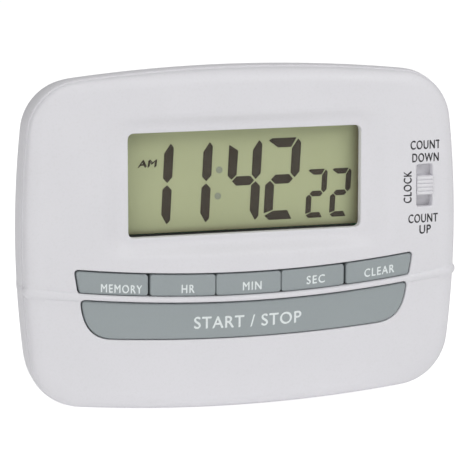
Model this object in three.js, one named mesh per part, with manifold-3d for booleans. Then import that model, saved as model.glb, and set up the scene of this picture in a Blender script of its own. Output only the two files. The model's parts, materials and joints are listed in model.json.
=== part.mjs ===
// A digital lab timer: a two-part moulded case with a large LCD, five small keys over one wide
// START/STOP key, a three-position mode switch, and a fold-out stand, battery door, magnets and
// buzzer on the back. Millimetres, +Z up. The front faces -Y, and the origin is the middle of the
// flat back face, so every piece of the case lies at negative Y.
import * as THREE from "three";
import { mergeVertices } from "three/addons/utils/BufferGeometryUtils.js";
import Module from "manifold-3d";

const wasm = await Module();
wasm.setup();

// ---- Driving dimensions ----

const DEPTH = 22; // back face to the highest point of the crowned front
const RIM = 15.8; // back face to the widest outline
const WALL = 2;
const GAP = 0.3; // general clearance between pieces that fit together

const HALF_WIDTH = 47.6;
const HALF_HEIGHT = 36.2;
const SIDE_RADIUS = 205; // bulge of the left and right sides
const TOP_RADIUS = 325; // bulge of the top and bottom sides
const CORNER_RADIUS = 12;
const CROWN_RADIUS_X = 475;
const CROWN_RADIUS_Z = 450;

const PARTING = { inset: 0.45, height: 1.8, groove: 0.25 }; // height is measured in front of RIM
const CREASE = { inset: 0.75, height: 2.15 };
const FACE_INSET = 4.3; // where the rounded edge of the front meets its face
const LIP = { outer: 3.3, inner: 4.3, back: -16 }; // on the front shell, inside the rear shell's rim
const REAR_WALL_INSET = 3;

const DISPLAY = { halfWidth: 25.2, bottom: 1.2, top: 22.8, corner: 1.4, rim: -19.6, innerWall: -18 };
const DISPLAY_PAD = { halfWidth: 33, bottom: -3.4, top: 27.4, corner: 2 }; // thick part of the front round it
const DISH = { halfWidth: 32, bottom: -3.4, top: 26.6, corner: 4 };
const WINDOW = { front: -19.3, step: -17.6, back: -16.9, flange: 1.5 };
const GLASS = { halfWidth: 27, bottom: -1.8, top: 24.8, ledge: 3.2 };
const CONTACT_STRIP = { halfWidth: 25, front: -15.8, back: -13.9, bottom: -1.4, top: 0.9 };

const KEY_ARC_RADIUS = 317; // the rows of keys and the bead follow one upward arc
const ROW = { top: -6.9, bottom: -11.4, end: 36.6, lean: 0.8 };
const START = { top: -13, bottom: -20.4, end: 35.4, cornerX: 28.5, bottomRadius: 400 };
const BEAD = { z: -12.15, middle: 0.65, ends: 1.1, proud: 0.6 };
const KEY_RECESS = 0.35; // how far the key tops lie below the face
const KEY_EDGES = [-ROW.end, -21.3, -7.1, 7.1, 21.3, ROW.end];
const KEY_NAMES = ["memory_key", "hour_key", "minute_key", "second_key", "clear_key"];
const WIDE_GAP = 0.45; // beside the first and the last small key
const THIN_GAP = 0.22;
const FLANGE_SPREAD = 1.1; // how far the outer small keys reach under the case at their ends
const PLUNGER_END = -16.95;
const PLUNGER_RADIUS = 1.6;
const START_DOME = { x: 14, z: (START.top + START.bottom) / 2 + 0.4 };

const SLOT = { x: 39.3, z: 9.5, halfWidth: 1.85, halfHeight: 4.5, corner: 0.6 };
const SWITCH_TRAVEL = 2.3; // each way from the middle position
const KNOB = { halfWidth: 1.5, halfHeight: 2, proud: 0.5, ribs: 5, plateHalfWidth: 3, plateFront: -17.4 };
const SWITCH_CAN = { halfWidth: 3, halfHeight: 7.2, front: -15.9, back: -13.9 };
const SLIDER = { halfWidth: 1, halfHeight: 1.2, front: -16.5, back: -14.6 };

const BOARD = { front: -13.8, back: -12.6, halfWidth: 42.4, bottom: -21.6, top: 2.6, corner: 1.5 };
const BOARD_ARM = { left: 34.2, top: 18.5 }; // carries the switch, on the right of the board
const MAT = { front: -14.9, back: -13.9, halfWidth: 37.4, bottom: -22, top: -3.4 };
const DOME = { top: -16, topRadius: 2, radius: 2.8 };

const STAND = { halfWidth: 19, foot: -29.6, thickness: 1.8, skin: -0.2, notchRadius: 5 };
const STAND_HINGE = { y: -1.7, z: -4.4, barrel: 1.5 };
const STAND_WELL = { halfWidth: 19.4, bottom: -30.1, top: -2.6, floor: -3.5, wall: 2, floorWall: 1.3 };
const PIN_RADIUS = 0.8;
const PIN_HALF_LENGTH = 20.8;

const BATTERY = { y: -7, z: 21.5, radius: 5.2, left: -21.3, shoulder: 22.2, nub: 23.2, nubRadius: 1.9 };
const BAY = { halfWidth: 24.75, bottom: 14.2, top: 27.6, floor: -12.5, wall: 1.1 };
const DOOR = { halfWidth: 25.8, bottom: 13.6, top: 28.4, corner: 1.2, thickness: 1.5, fit: 0.25 };
const DOOR_SEAT = { margin: 1.6, ledge: -1.8, inside: -3.4 }; // thick part of the rear shell round the door
const TONGUE = { offset: 14, halfWidth: 3, reach: 12.4, root: 14.6, front: -3.2, back: -2.3 };
const LATCH = { halfWidth: 5, bottom: 22.4, slit: 0.6, bump: 0.2 }; // springy tab in the door's top edge

const CASE_SCREW = { x: 36, z: 25.2, head: 2.3, shank: 1.1, seat: -9, end: -16.8 };
const CASE_SCREWS = [-1, 1].flatMap((sx) => [-1, 1].map((sz) => [sx * CASE_SCREW.x, sz * CASE_SCREW.z]));
const FRONT_BOSS = { radius: 2.8, end: -13.5, pilot: 1.25, pilotEnd: -17.4 };
const SCREW_COLUMN = { radius: 3.6, end: -13.2, bore: 2.7, shankHole: 1.4 };
const BOARD_SCREWS = [[-40.2, -19.5], [40.2, -19.5], [-40.2, -3.6], [40.2, -3.6]];
const BOARD_SCREW = { head: 1.8, shank: 0.8, end: -16.6, boss: 2, pilot: 0.95, pilotEnd: -17, hole: 1.1 };

const MAGNET = { x: 31.5, z: -14, radius: 6, thickness: 2, cupWall: 1.3, cupFront: -3.6 };
const BUZZER = { x: 33, z: 3, radius: 9, ringWall: 1.3, ceramic: 6.5, seat: -3.4 };
const SOUND_HOLES = { radius: 0.8, ringRadius: 3.4, count: 6 };
const LEAD_RADIUS = { battery: 0.5, buzzer: 0.45 };

// ---- Colours and finishes ----

const FINISHES = {
  case: { color: 0xdcdbe0, roughness: 0.45, metalness: 0 },
  key: { color: 0x97a3a1, roughness: 0.5, metalness: 0 },
  clear: { color: 0xe8ecec, roughness: 0.05, metalness: 0 },
  glass: { color: 0xa4aa88, roughness: 0.1, metalness: 0 },
  reflector: { color: 0x9aa07c, roughness: 0.4, metalness: 0 },
  rubber: { color: 0x6f7473, roughness: 0.9, metalness: 0 },
  strip: { color: 0x2c2c30, roughness: 0.8, metalness: 0 },
  board: { color: 0x2f6b45, roughness: 0.5, metalness: 0 },
  epoxy: { color: 0x121214, roughness: 0.4, metalness: 0 },
  steel: { color: 0xb9bcc0, roughness: 0.3, metalness: 1 },
  brass: { color: 0xc9a24b, roughness: 0.35, metalness: 1 },
  ceramic: { color: 0xe9e6dc, roughness: 0.5, metalness: 0 },
  battery: { color: 0x4d5f74, roughness: 0.35, metalness: 0.3 },
  magnet: { color: 0x3c3d40, roughness: 0.5, metalness: 0.4 },
  redWire: { color: 0xa02622, roughness: 0.5, metalness: 0 },
  blackWire: { color: 0x1b1b1d, roughness: 0.5, metalness: 0 },
};

// ---- Solids: every helper here returns a manifold solid ----

function solid(geometry) {
  const bare = geometry.clone();
  bare.deleteAttribute("normal");
  bare.deleteAttribute("uv");
  const merged = mergeVertices(bare);
  return new wasm.Manifold(
    new wasm.Mesh({
      numProp: 3,
      vertProperties: new Float32Array(merged.attributes.position.array),
      triVerts: new Uint32Array(merged.index.array),
    }),
  );
}

function join(first, ...others) {
  return others.reduce((sum, piece) => sum.add(piece), first);
}

function cut(first, ...others) {
  return others.reduce((rest, piece) => rest.subtract(piece), first);
}

function box([x0, x1], [y0, y1], [z0, z1]) {
  const geometry = new THREE.BoxGeometry(x1 - x0, y1 - y0, z1 - z0);
  geometry.translate((x0 + x1) / 2, (y0 + y1) / 2, (z0 + z1) / 2);
  return solid(geometry);
}

// A round rod along Y, as every boss, screw and dome here is. The front end may be narrower.
function rod(x, z, radius, [y0, y1], sides = 20, frontRadius = radius) {
  const geometry = new THREE.CylinderGeometry(radius, frontRadius, y1 - y0, sides);
  geometry.translate(x, (y0 + y1) / 2, z);
  return solid(geometry);
}

// The same rod at each of several places.
function rods(places, radius, span, sides) {
  return places.map(([x, z]) => rod(x, z, radius, span, sides));
}

function rodAlongX(y, z, radius, [x0, x1], sides = 20) {
  const geometry = new THREE.CylinderGeometry(radius, radius, x1 - x0, sides);
  geometry.rotateZ(Math.PI / 2);
  geometry.translate((x0 + x1) / 2, y, z);
  return solid(geometry);
}

// A shape drawn in X and Z, given depth from yBack to yFront. Either may be a function of x and z.
function slab(shape, yBack, yFront, curveSegments = 2) {
  const geometry = new THREE.ExtrudeGeometry(shape, { depth: 1, bevelEnabled: false, curveSegments });
  const at = (y, x, z) => (typeof y === "function" ? y(x, z) : y);
  const position = geometry.attributes.position;
  for (let i = 0; i < position.count; i++) {
    const x = position.getX(i);
    const z = position.getY(i);
    const y = position.getZ(i) > 0.5 ? yFront : yBack;
    position.setXYZ(i, x, at(y, x, z), z);
  }
  return solid(geometry);
}

// A skin through rings of equal length, ordered from back to front, closed at both ends.
function loft(rings) {
  const size = rings[0].length;
  const middle = (ring) => ring.reduce((sum, p) => sum.add(p), new THREE.Vector3()).divideScalar(size);
  const points = [...rings.flat(), middle(rings[0]), middle(rings.at(-1))];
  const backMiddle = points.length - 2;
  const frontMiddle = points.length - 1;
  const lastRing = (rings.length - 1) * size;
  const index = [];
  for (let j = 0; j < size; j++) {
    const next = (j + 1) % size;
    for (let i = 0; i < lastRing; i += size) {
      index.push(i + j, i + next, i + size + next);
      index.push(i + j, i + size + next, i + size + j);
    }
    index.push(backMiddle, next, j);
    index.push(frontMiddle, lastRing + j, lastRing + next);
  }
  const geometry = new THREE.BufferGeometry().setFromPoints(points);
  geometry.setIndex(index);
  return solid(geometry);
}

// A round wire along a smooth curve through the given points.
function wire(points, radius, steps, curveSegments = 4) {
  const section = new THREE.Shape();
  section.absarc(0, 0, radius, 0, 2 * Math.PI);
  const path = new THREE.CatmullRomCurve3(points.map((p) => new THREE.Vector3(...p)));
  const geometry = new THREE.ExtrudeGeometry(section, {
    steps,
    extrudePath: path,
    bevelEnabled: false,
    curveSegments,
  });
  return solid(geometry);
}

function mesh(name, manifold, finish) {
  const { vertProperties, triVerts, numProp } = manifold.getMesh();
  const indexed = new THREE.BufferGeometry();
  indexed.setAttribute("position", new THREE.BufferAttribute(vertProperties, numProp));
  indexed.setIndex(new THREE.BufferAttribute(triVerts, 1));
  const geometry = indexed.toNonIndexed();
  geometry.computeVertexNormals();
  const made = new THREE.Mesh(geometry, new THREE.MeshStandardMaterial(FINISHES[finish]));
  made.name = name;
  return made;
}

// ---- Outlines ----

const faceY = (x, z) => -DEPTH + x ** 2 / (2 * CROWN_RADIUS_X) + z ** 2 / (2 * CROWN_RADIUS_Z);
const behindFace = (distance) => (x, z) => faceY(x, z) + distance;
const onArc = (z, x) => z + x ** 2 / (2 * KEY_ARC_RADIUS);

// The middle of the corner circle that touches the side arc and the top arc from inside.
function cornerCentre() {
  const side = new THREE.Vector2(HALF_WIDTH - SIDE_RADIUS, 0);
  const top = new THREE.Vector2(0, HALF_HEIGHT - TOP_RADIUS);
  const span = top.clone().sub(side);
  const length = span.length();
  const fromSide = SIDE_RADIUS - CORNER_RADIUS;
  const fromTop = TOP_RADIUS - CORNER_RADIUS;
  const along = (fromSide ** 2 - fromTop ** 2 + length ** 2) / (2 * length);
  const across = Math.sqrt(fromSide ** 2 - along ** 2);
  const unit = span.divideScalar(length);
  return new THREE.Vector2(side.x + along * unit.x - across * unit.y, along * unit.y + across * unit.x);
}

// One quarter of the case outline, from the middle of the right side to the middle of the top.
function quarterOutline(inset) {
  const corner = cornerCentre();
  const sideX = HALF_WIDTH - SIDE_RADIUS;
  const topZ = HALF_HEIGHT - TOP_RADIUS;
  const sideEnd = Math.atan2(corner.y, corner.x - sideX);
  const topStart = Math.atan2(corner.y - topZ, corner.x);
  const arcs = [
    { x: sideX, z: 0, radius: SIDE_RADIUS, from: 0, to: sideEnd, steps: 2 },
    { x: corner.x, z: corner.y, radius: CORNER_RADIUS, from: sideEnd, to: topStart, steps: 5 },
    { x: 0, z: topZ, radius: TOP_RADIUS, from: topStart, to: Math.PI / 2, steps: 3 },
  ];
  return arcs.flatMap(({ x, z, radius, from, to, steps }) =>
    Array.from({ length: steps }, (_, i) => {
      const angle = from + ((to - from) * i) / steps;
      return [x + (radius - inset) * Math.cos(angle), z + (radius - inset) * Math.sin(angle)];
    }),
  );
}

// The whole outline as points in space, anticlockwise from the front, with y as a number or function.
function caseRing(inset, y, scale = 1) {
  const quarter = quarterOutline(inset);
  const topMiddle = [0, HALF_HEIGHT - inset];
  const upper = [...quarter, topMiddle, ...quarter.slice(1).reverse().map(([x, z]) => [-x, z])];
  const whole = [...upper, ...upper.map(([x, z]) => [-x, -z])];
  return whole.map(([x, z]) => {
    const at = [x * scale, z * scale];
    return new THREE.Vector3(at[0], typeof y === "function" ? y(...at) : y, at[1]);
  });
}

function roundedRectangle([x0, x1], [z0, z1], radius) {
  const shape = new THREE.Shape();
  shape.absarc(x1 - radius, z0 + radius, radius, -Math.PI / 2, 0);
  shape.absarc(x1 - radius, z1 - radius, radius, 0, Math.PI / 2);
  shape.absarc(x0 + radius, z1 - radius, radius, Math.PI / 2, Math.PI);
  shape.absarc(x0 + radius, z0 + radius, radius, Math.PI, (3 * Math.PI) / 2);
  return shape;
}

// A band that follows the keys' arc. left and right are [x at the bottom, x at the top].
function arcBand(left, right, zBottom, zTop, steps = 6) {
  const points = [];
  for (let i = 0; i <= steps; i++) {
    const x = THREE.MathUtils.lerp(left[0], right[0], i / steps);
    points.push(new THREE.Vector2(x, onArc(zBottom, x)));
  }
  for (let i = 0; i <= steps; i++) {
    const x = THREE.MathUtils.lerp(right[1], left[1], i / steps);
    points.push(new THREE.Vector2(x, onArc(zTop, x)));
  }
  return new THREE.Shape(points);
}

// The wide key's outline: the keys' arc on top, and a flatter arc with round corners below.
function startOutline({ side = 0, top = 0, bottom = 0 } = {}) {
  const end = START.end + side;
  const low = (x) => START.bottom - bottom + x ** 2 / (2 * START.bottomRadius);
  const high = (x) => onArc(START.top + top, x);
  const cornerX = START.cornerX;
  const shape = new THREE.Shape();
  const steps = 8;
  shape.moveTo(-cornerX, low(cornerX));
  for (let i = 1; i <= steps; i++) {
    const x = THREE.MathUtils.lerp(-cornerX, cornerX, i / steps);
    shape.lineTo(x, low(x));
  }
  shape.bezierCurveTo(end - 1.4, low(cornerX) + 0.2, end - 0.4, low(cornerX) + 4.2, end, high(end));
  for (let i = 1; i <= steps + 2; i++) {
    const x = THREE.MathUtils.lerp(end, -end, i / (steps + 2));
    shape.lineTo(x, high(x));
  }
  shape.bezierCurveTo(0.4 - end, low(cornerX) + 4.2, 1.4 - end, low(cornerX) + 0.2, -cornerX, low(cornerX));
  return shape;
}

// ---- Case ----

// The front shell's outer body without its openings. grow swells it for the bead.
function frontBody(grow = 0) {
  const face = behindFace(-grow);
  const creaseY = -(RIM + CREASE.height);
  const edge = caseRing(FACE_INSET, face);
  const rings = [
    caseRing(PARTING.inset, -(RIM + PARTING.height)),
    caseRing(CREASE.inset - grow, creaseY),
  ];
  for (const angle of [30, 60, 90]) {
    const turn = THREE.MathUtils.degToRad(angle);
    const inset = FACE_INSET - (FACE_INSET - CREASE.inset + grow) * Math.cos(turn);
    const ring = caseRing(inset, creaseY);
    ring.forEach((point, i) => (point.y = THREE.MathUtils.lerp(creaseY, edge[i].y, Math.sin(turn))));
    rings.push(ring);
  }
  for (const scale of [0.75, 0.4]) rings.push(caseRing(FACE_INSET, face, scale));
  return loft(rings);
}

function frontCavity() {
  const inner = behindFace(WALL);
  const rings = [1, 0.7, 0.35].map((scale) => caseRing(LIP.inner, inner, scale));
  return loft([caseRing(LIP.inner, LIP.back + 1), ...rings]);
}

// The smooth depression round the display, as the body that it removes.
function dishCutter() {
  const rise = DEPTH + DISPLAY.rim;
  const margin = 1.4;
  const floor = roundedRectangle(
    [-DISPLAY.halfWidth - margin, DISPLAY.halfWidth + margin],
    [DISPLAY.bottom - margin, DISPLAY.top + margin],
    DISH.corner,
  );
  const mouth = roundedRectangle([-DISH.halfWidth, DISH.halfWidth], [DISH.bottom, DISH.top], DISH.corner + 2);
  const ring = (shape, y) => {
    const outline = shape.extractPoints(3).shape.slice(0, -1);
    return outline.map((p) => new THREE.Vector3(p.x, y, p.y));
  };
  const low = ring(floor, DISPLAY.rim);
  const high = ring(mouth, DISPLAY.rim - rise * 0.8);
  const beyond = high.map((p, i) => p.clone().lerp(low[i], -0.4).setY(DISPLAY.rim - rise * 1.3));
  return loft([low, high, beyond]);
}

function bead() {
  const reach = HALF_WIDTH + 1;
  const points = [];
  const steps = 16;
  const halfHeight = (x) => THREE.MathUtils.lerp(BEAD.middle, BEAD.ends, (x / reach) ** 4);
  for (let i = 0; i <= steps; i++) {
    const x = THREE.MathUtils.lerp(-reach, reach, i / steps);
    points.push(new THREE.Vector2(x, onArc(BEAD.z, x) - halfHeight(x)));
  }
  for (let i = steps; i >= 0; i--) {
    const x = THREE.MathUtils.lerp(-reach, reach, i / steps);
    points.push(new THREE.Vector2(x, onArc(BEAD.z, x) + halfHeight(x)));
  }
  const band = slab(new THREE.Shape(points), -(RIM + CREASE.height + 0.1), -DEPTH - 2);
  return band.intersect(frontBody(BEAD.proud));
}

function frontShell() {
  const padOutline = roundedRectangle(
    [-DISPLAY_PAD.halfWidth, DISPLAY_PAD.halfWidth],
    [DISPLAY_PAD.bottom, DISPLAY_PAD.top],
    DISPLAY_PAD.corner,
  );
  const pad = slab(padOutline, DISPLAY.innerWall, -DEPTH - 1).intersect(frontBody());
  const bosses = rods(CASE_SCREWS, FRONT_BOSS.radius, [-19.5, FRONT_BOSS.end], 20);
  const boardBosses = rods(BOARD_SCREWS, BOARD_SCREW.boss, [-19, BOARD.front - 0.2], 20);
  const pilots = rods(CASE_SCREWS, FRONT_BOSS.pilot, [FRONT_BOSS.pilotEnd, -13], 12);
  const boardPilots = rods(BOARD_SCREWS, BOARD_SCREW.pilot, [BOARD_SCREW.pilotEnd, -13], 10);
  const displayOpening = roundedRectangle(
    [-DISPLAY.halfWidth, DISPLAY.halfWidth],
    [DISPLAY.bottom, DISPLAY.top],
    DISPLAY.corner,
  );
  const rowEnd = ROW.end + WIDE_GAP;
  const rowOpening = arcBand(
    [ROW.lean - rowEnd, -rowEnd],
    [rowEnd - ROW.lean, rowEnd],
    ROW.bottom - 0.15,
    ROW.top + GAP,
    12,
  );
  const switchSlot = roundedRectangle(
    [SLOT.x - SLOT.halfWidth, SLOT.x + SLOT.halfWidth],
    [SLOT.z - SLOT.halfHeight, SLOT.z + SLOT.halfHeight],
    SLOT.corner,
  );
  const openings = [
    displayOpening,
    rowOpening,
    startOutline({ side: 0.4, top: 0.25, bottom: 0.3 }),
    switchSlot,
  ].map((shape) => slab(shape, -15, -DEPTH - 2, 5));
  const cavity = frontCavity();
  const lip = loft([caseRing(LIP.outer, LIP.back), caseRing(LIP.outer, -RIM - CREASE.height)]);
  const skin = join(cut(join(frontBody(), bead(), lip), cavity), pad);
  return cut(join(skin, ...bosses, ...boardBosses), dishCutter(), ...openings, ...pilots, ...boardPilots);
}

// The rear shell's outer body, from the parting groove to the flat back.
function rearBody() {
  const rimFront = -(RIM + PARTING.height - PARTING.groove);
  const backToFront = [
    [4.6, 0],
    [3.3, -1.2],
    [2.75, -3.2],
    [0.95, -9],
    [0, -RIM],
    [PARTING.inset, rimFront],
  ];
  return loft(backToFront.map(([inset, y]) => caseRing(inset, y)));
}

function rearCavity() {
  const backToFront = [
    [4.4, -WALL],
    [3.9, -4],
    [REAR_WALL_INSET, -8],
    [REAR_WALL_INSET, -RIM - 4],
  ];
  return loft(backToFront.map(([inset, y]) => caseRing(inset, y)));
}

// The battery bay's walls and its opening to the back.
function batteryBay() {
  const { halfWidth, bottom, top, floor, wall } = BAY;
  const walls = box([-halfWidth - wall, halfWidth + wall], [floor - wall, -1], [bottom - wall, top + wall]);
  const hollow = box([-halfWidth, halfWidth], [floor, 1], [bottom, top]);
  const contactSlots = [-1, 1].map((s) => {
    const ends = [s * (halfWidth - 1), s * (halfWidth + wall + 1)].sort((a, b) => a - b);
    return box(ends, [-11.9, -10.1], [19.8, 23.2]);
  });
  return { add: [walls], remove: [hollow, ...contactSlots] };
}

// The battery door's seat, with a slot at each tongue that runs under the back wall.
function doorSeat() {
  const { halfWidth, bottom, top, corner, fit } = DOOR;
  const { margin, ledge, inside } = DOOR_SEAT;
  const outside = halfWidth + margin;
  const block = box([-outside, outside], [inside, -1], [bottom - margin, top + margin]);
  const well = slab(
    roundedRectangle([-halfWidth - fit, halfWidth + fit], [bottom - fit, top + fit], corner + fit),
    1,
    ledge,
  );
  const slots = [-1, 1].flatMap((s) => {
    const span = [s * TONGUE.offset - TONGUE.halfWidth - GAP, s * TONGUE.offset + TONGUE.halfWidth + GAP];
    const inner = TONGUE.front - 0.4;
    return [
      box(span, [inner, -WALL], [TONGUE.reach - 0.6, bottom]),
      box(span, [inner, ledge + 0.1], [bottom - fit, BAY.bottom + 0.1]),
    ];
  });
  return { add: [block], remove: [well, ...slots] };
}

function standWell() {
  const { halfWidth, bottom, top, floor, wall, floorWall } = STAND_WELL;
  const outside = halfWidth + wall;
  const walls = box([-outside, outside], [floor - floorWall, -1], [bottom - wall, top + wall]);
  const hollow = box([-halfWidth, halfWidth], [floor, 1], [bottom, top]);
  const pinBore = rodAlongX(STAND_HINGE.y, STAND_HINGE.z, PIN_RADIUS + 0.1, [-22, 22], 16);
  return { add: [walls], remove: [hollow, pinBore] };
}

function magnetCups() {
  const { x, z, radius, thickness, cupWall, cupFront } = MAGNET;
  const places = [[-x, z], [x, z]];
  const cups = rods(places, radius + cupWall, [cupFront, -1], 24);
  const bores = rods(places, radius + 0.2, [-thickness - GAP, 1], 24);
  return { add: cups, remove: bores };
}

function buzzerSeat() {
  const { x, z, radius, ringWall, seat } = BUZZER;
  const ring = rod(x, z, radius, [seat, -1], 24).subtract(rod(x, z, radius - ringWall, [-5, 0], 24));
  const hole = (dx, dz) => rod(x + dx, z + dz, SOUND_HOLES.radius, [-5, 1], 10);
  const holes = [hole(0, 0)];
  for (let i = 0; i < SOUND_HOLES.count; i++) {
    const angle = (2 * Math.PI * i) / SOUND_HOLES.count;
    holes.push(hole(SOUND_HOLES.ringRadius * Math.cos(angle), SOUND_HOLES.ringRadius * Math.sin(angle)));
  }
  return { add: [ring], remove: holes };
}

function screwColumns() {
  const { radius, end, bore, shankHole } = SCREW_COLUMN;
  const bores = rods(CASE_SCREWS, bore, [CASE_SCREW.seat, 1], 20);
  const shankHoles = rods(CASE_SCREWS, shankHole, [end - 1, 0], 12);
  return { add: rods(CASE_SCREWS, radius, [end, -1], 20), remove: [...bores, ...shankHoles] };
}

function rearShell() {
  const features = [batteryBay(), doorSeat(), standWell(), magnetCups(), buzzerSeat(), screwColumns()];
  const shell = rearBody().subtract(rearCavity());
  const inside = join(...features.flatMap((feature) => feature.add)).intersect(rearBody());
  return cut(join(shell, inside), ...features.flatMap((feature) => feature.remove));
}

// ---- Keys and mode switch ----

// A key: a cap that follows the face, a flange that stops it from falling out, and a plunger.
function key(outline, flangeOutline, plungers) {
  const cap = slab(outline, behindFace(WALL + 0.9), behindFace(KEY_RECESS), 5);
  const flange = slab(flangeOutline, behindFace(WALL + 1.3), behindFace(WALL + GAP));
  const posts = plungers.map(([x, z]) => rod(x, z, PLUNGER_RADIUS, [-18.9, PLUNGER_END], 14));
  return join(cap, flange, ...posts);
}

const rowCentreZ = (x) => onArc((ROW.top + ROW.bottom) / 2, x);

function smallKey(i) {
  const last = KEY_NAMES.length - 1;
  const halfGap = (edge) => (edge === 2 || edge === 3 ? THIN_GAP : WIDE_GAP) / 2;
  const left = i === 0 ? KEY_EDGES[0] : KEY_EDGES[i] + halfGap(i);
  const right = i === last ? KEY_EDGES[last + 1] : KEY_EDGES[i + 1] - halfGap(i + 1);
  const leanLeft = i === 0 ? ROW.lean : 0;
  const leanRight = i === last ? ROW.lean : 0;
  const cap = arcBand([left + leanLeft, left], [right - leanRight, right], ROW.bottom, ROW.top);
  const spreadLeft = i === 0 ? FLANGE_SPREAD : 0;
  const spreadRight = i === last ? FLANGE_SPREAD : 0;
  const flange = arcBand(
    [left - spreadLeft + leanLeft, left - spreadLeft],
    [right + spreadRight - leanRight, right + spreadRight],
    ROW.bottom - 0.55,
    ROW.top + 1,
  );
  const middle = (left + right) / 2;
  return key(cap, flange, [[middle, rowCentreZ(middle)]]);
}

function startKey() {
  const flange = startOutline({ side: 1, top: 0.7, bottom: 1 });
  return key(startOutline(), flange, [-1, 1].map((s) => [s * START_DOME.x, START_DOME.z]));
}

function switchKnob() {
  const { halfWidth, halfHeight, proud, ribs: ribCount, plateHalfWidth, plateFront } = KNOB;
  const frontY = faceY(SLOT.x, SLOT.z) - proud;
  const across = [SLOT.x - halfWidth, SLOT.x + halfWidth];
  const cap = box(across, [frontY + 0.4, plateFront + 0.2], [SLOT.z - halfHeight, SLOT.z + halfHeight]);
  const pitch = (2 * halfHeight) / ribCount;
  const ribs = Array.from({ length: ribCount }, (_, i) => {
    const z = SLOT.z - halfHeight + (i + 0.5) * pitch;
    return box(across, [frontY, frontY + 0.6], [z - pitch * 0.3, z + pitch * 0.3]);
  });
  const plateHalf = SLOT.halfHeight + SWITCH_TRAVEL + 0.4;
  const plate = behindSlot(plateHalfWidth, plateHalf, [plateFront, plateFront + 0.7]);
  return join(cap, plate, ...ribs);
}

// A box centred on the switch's slot.
function behindSlot(halfWidth, halfHeight, span) {
  return box([SLOT.x - halfWidth, SLOT.x + halfWidth], span, [SLOT.z - halfHeight, SLOT.z + halfHeight]);
}

function switchSlider() {
  return behindSlot(SLIDER.halfWidth, SLIDER.halfHeight, [SLIDER.front, SLIDER.back]);
}

function switchBody() {
  const { halfWidth, halfHeight, front, back } = SWITCH_CAN;
  const track = behindSlot(1.4, 4.1, [front - 1, back - 0.5]);
  return behindSlot(halfWidth, halfHeight, [front, back]).subtract(track);
}

// ---- Display ----

function displayWindow() {
  const clearance = 0.2;
  const shrink = ([low, high], by) => [low + by, high - by];
  const across = [-DISPLAY.halfWidth, DISPLAY.halfWidth];
  const up = [DISPLAY.bottom, DISPLAY.top];
  const plug = roundedRectangle(shrink(across, clearance), shrink(up, clearance), DISPLAY.corner - 0.2);
  const flange = roundedRectangle(shrink(across, -WINDOW.flange), shrink(up, -WINDOW.flange), 1);
  return join(slab(plug, WINDOW.step + 0.2, WINDOW.front), slab(flange, WINDOW.back, WINDOW.step));
}

function glassSheet([back, front], bottom) {
  return box([-GLASS.halfWidth, GLASS.halfWidth], [front, back], [bottom, GLASS.top]);
}

function contactStrip() {
  const { halfWidth, front, back, bottom, top } = CONTACT_STRIP;
  return box([-halfWidth, halfWidth], [front, back], [bottom, top]);
}

function displayFrame() {
  const inside = GLASS.halfWidth + GAP;
  const span = [-17.75, -14.5];
  const outer = box([-inside - 2, inside + 2], span, [GLASS.bottom - 1.3, GLASS.top + 2.3]);
  const inner = box([-inside, inside], [-19, -13], [GLASS.bottom - GAP, GLASS.top + GAP]);
  return outer.subtract(inner);
}

// ---- Board, keypad and electronics ----

function circuitBoard() {
  const { front, back, halfWidth, bottom, top, corner } = BOARD;
  const panel = (left, low, high) =>
    slab(roundedRectangle([left, halfWidth], [low, high], corner), back, front);
  const main = panel(-halfWidth, bottom, top);
  const arm = panel(BOARD_ARM.left, top - 3, BOARD_ARM.top);
  const holes = rods(BOARD_SCREWS, BOARD_SCREW.hole, [front - 1, back + 1], 12);
  return cut(main.add(arm), ...holes);
}

function keypadMat() {
  const { front, back, halfWidth, bottom, top } = MAT;
  const web = slab(roundedRectangle([-halfWidth, halfWidth], [bottom, top], 3), back, front);
  const middles = KEY_NAMES.map((_, i) => (KEY_EDGES[i] + KEY_EDGES[i + 1]) / 2);
  const places = [
    ...middles.map((x) => [x, rowCentreZ(x)]),
    [-START_DOME.x, START_DOME.z],
    [START_DOME.x, START_DOME.z],
  ];
  const domes = places.map(([x, z]) => rod(x, z, DOME.radius, [DOME.top, front + 0.2], 10, DOME.topRadius));
  return join(web, ...domes);
}

function chipCover() {
  const radius = 6;
  const height = 1.3;
  const profile = [new THREE.Vector2(0, 0)];
  for (let i = 0; i <= 4; i++) {
    const angle = (Math.PI / 2) * (i / 4);
    profile.push(new THREE.Vector2(radius * Math.cos(angle), 0.2 + height * Math.sin(angle)));
  }
  profile[5].x = 0;
  const geometry = new THREE.LatheGeometry(profile, 20);
  geometry.translate(-12, BOARD.back + 0.1, -11);
  return solid(geometry);
}

function quartzCrystal() {
  return rodAlongX(BOARD.back + 1.7, -7, 1.5, [4, 10], 14);
}

function buzzerDisc() {
  return rod(BUZZER.x, BUZZER.z, BUZZER.radius - 0.2, [BUZZER.seat - 0.6, BUZZER.seat - 0.3], 28);
}

function buzzerCeramic() {
  return rod(BUZZER.x, BUZZER.z, BUZZER.ceramic, [BUZZER.seat - 1, BUZZER.seat - 0.7], 24);
}

// ---- Battery ----

function batteryCell() {
  const { radius, nubRadius, left, shoulder, nub } = BATTERY;
  const profile = [
    [0, left],
    [radius - 0.6, left],
    [radius, left + 0.6],
    [radius, shoulder - 0.6],
    [radius - 0.6, shoulder],
    [nubRadius, shoulder],
    [nubRadius, nub],
    [0, nub],
  ].map(([r, along]) => new THREE.Vector2(r, along));
  const geometry = new THREE.LatheGeometry(profile, 28);
  geometry.rotateZ(-Math.PI / 2);
  geometry.translate(0, BATTERY.y, BATTERY.z);
  return solid(geometry);
}

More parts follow.
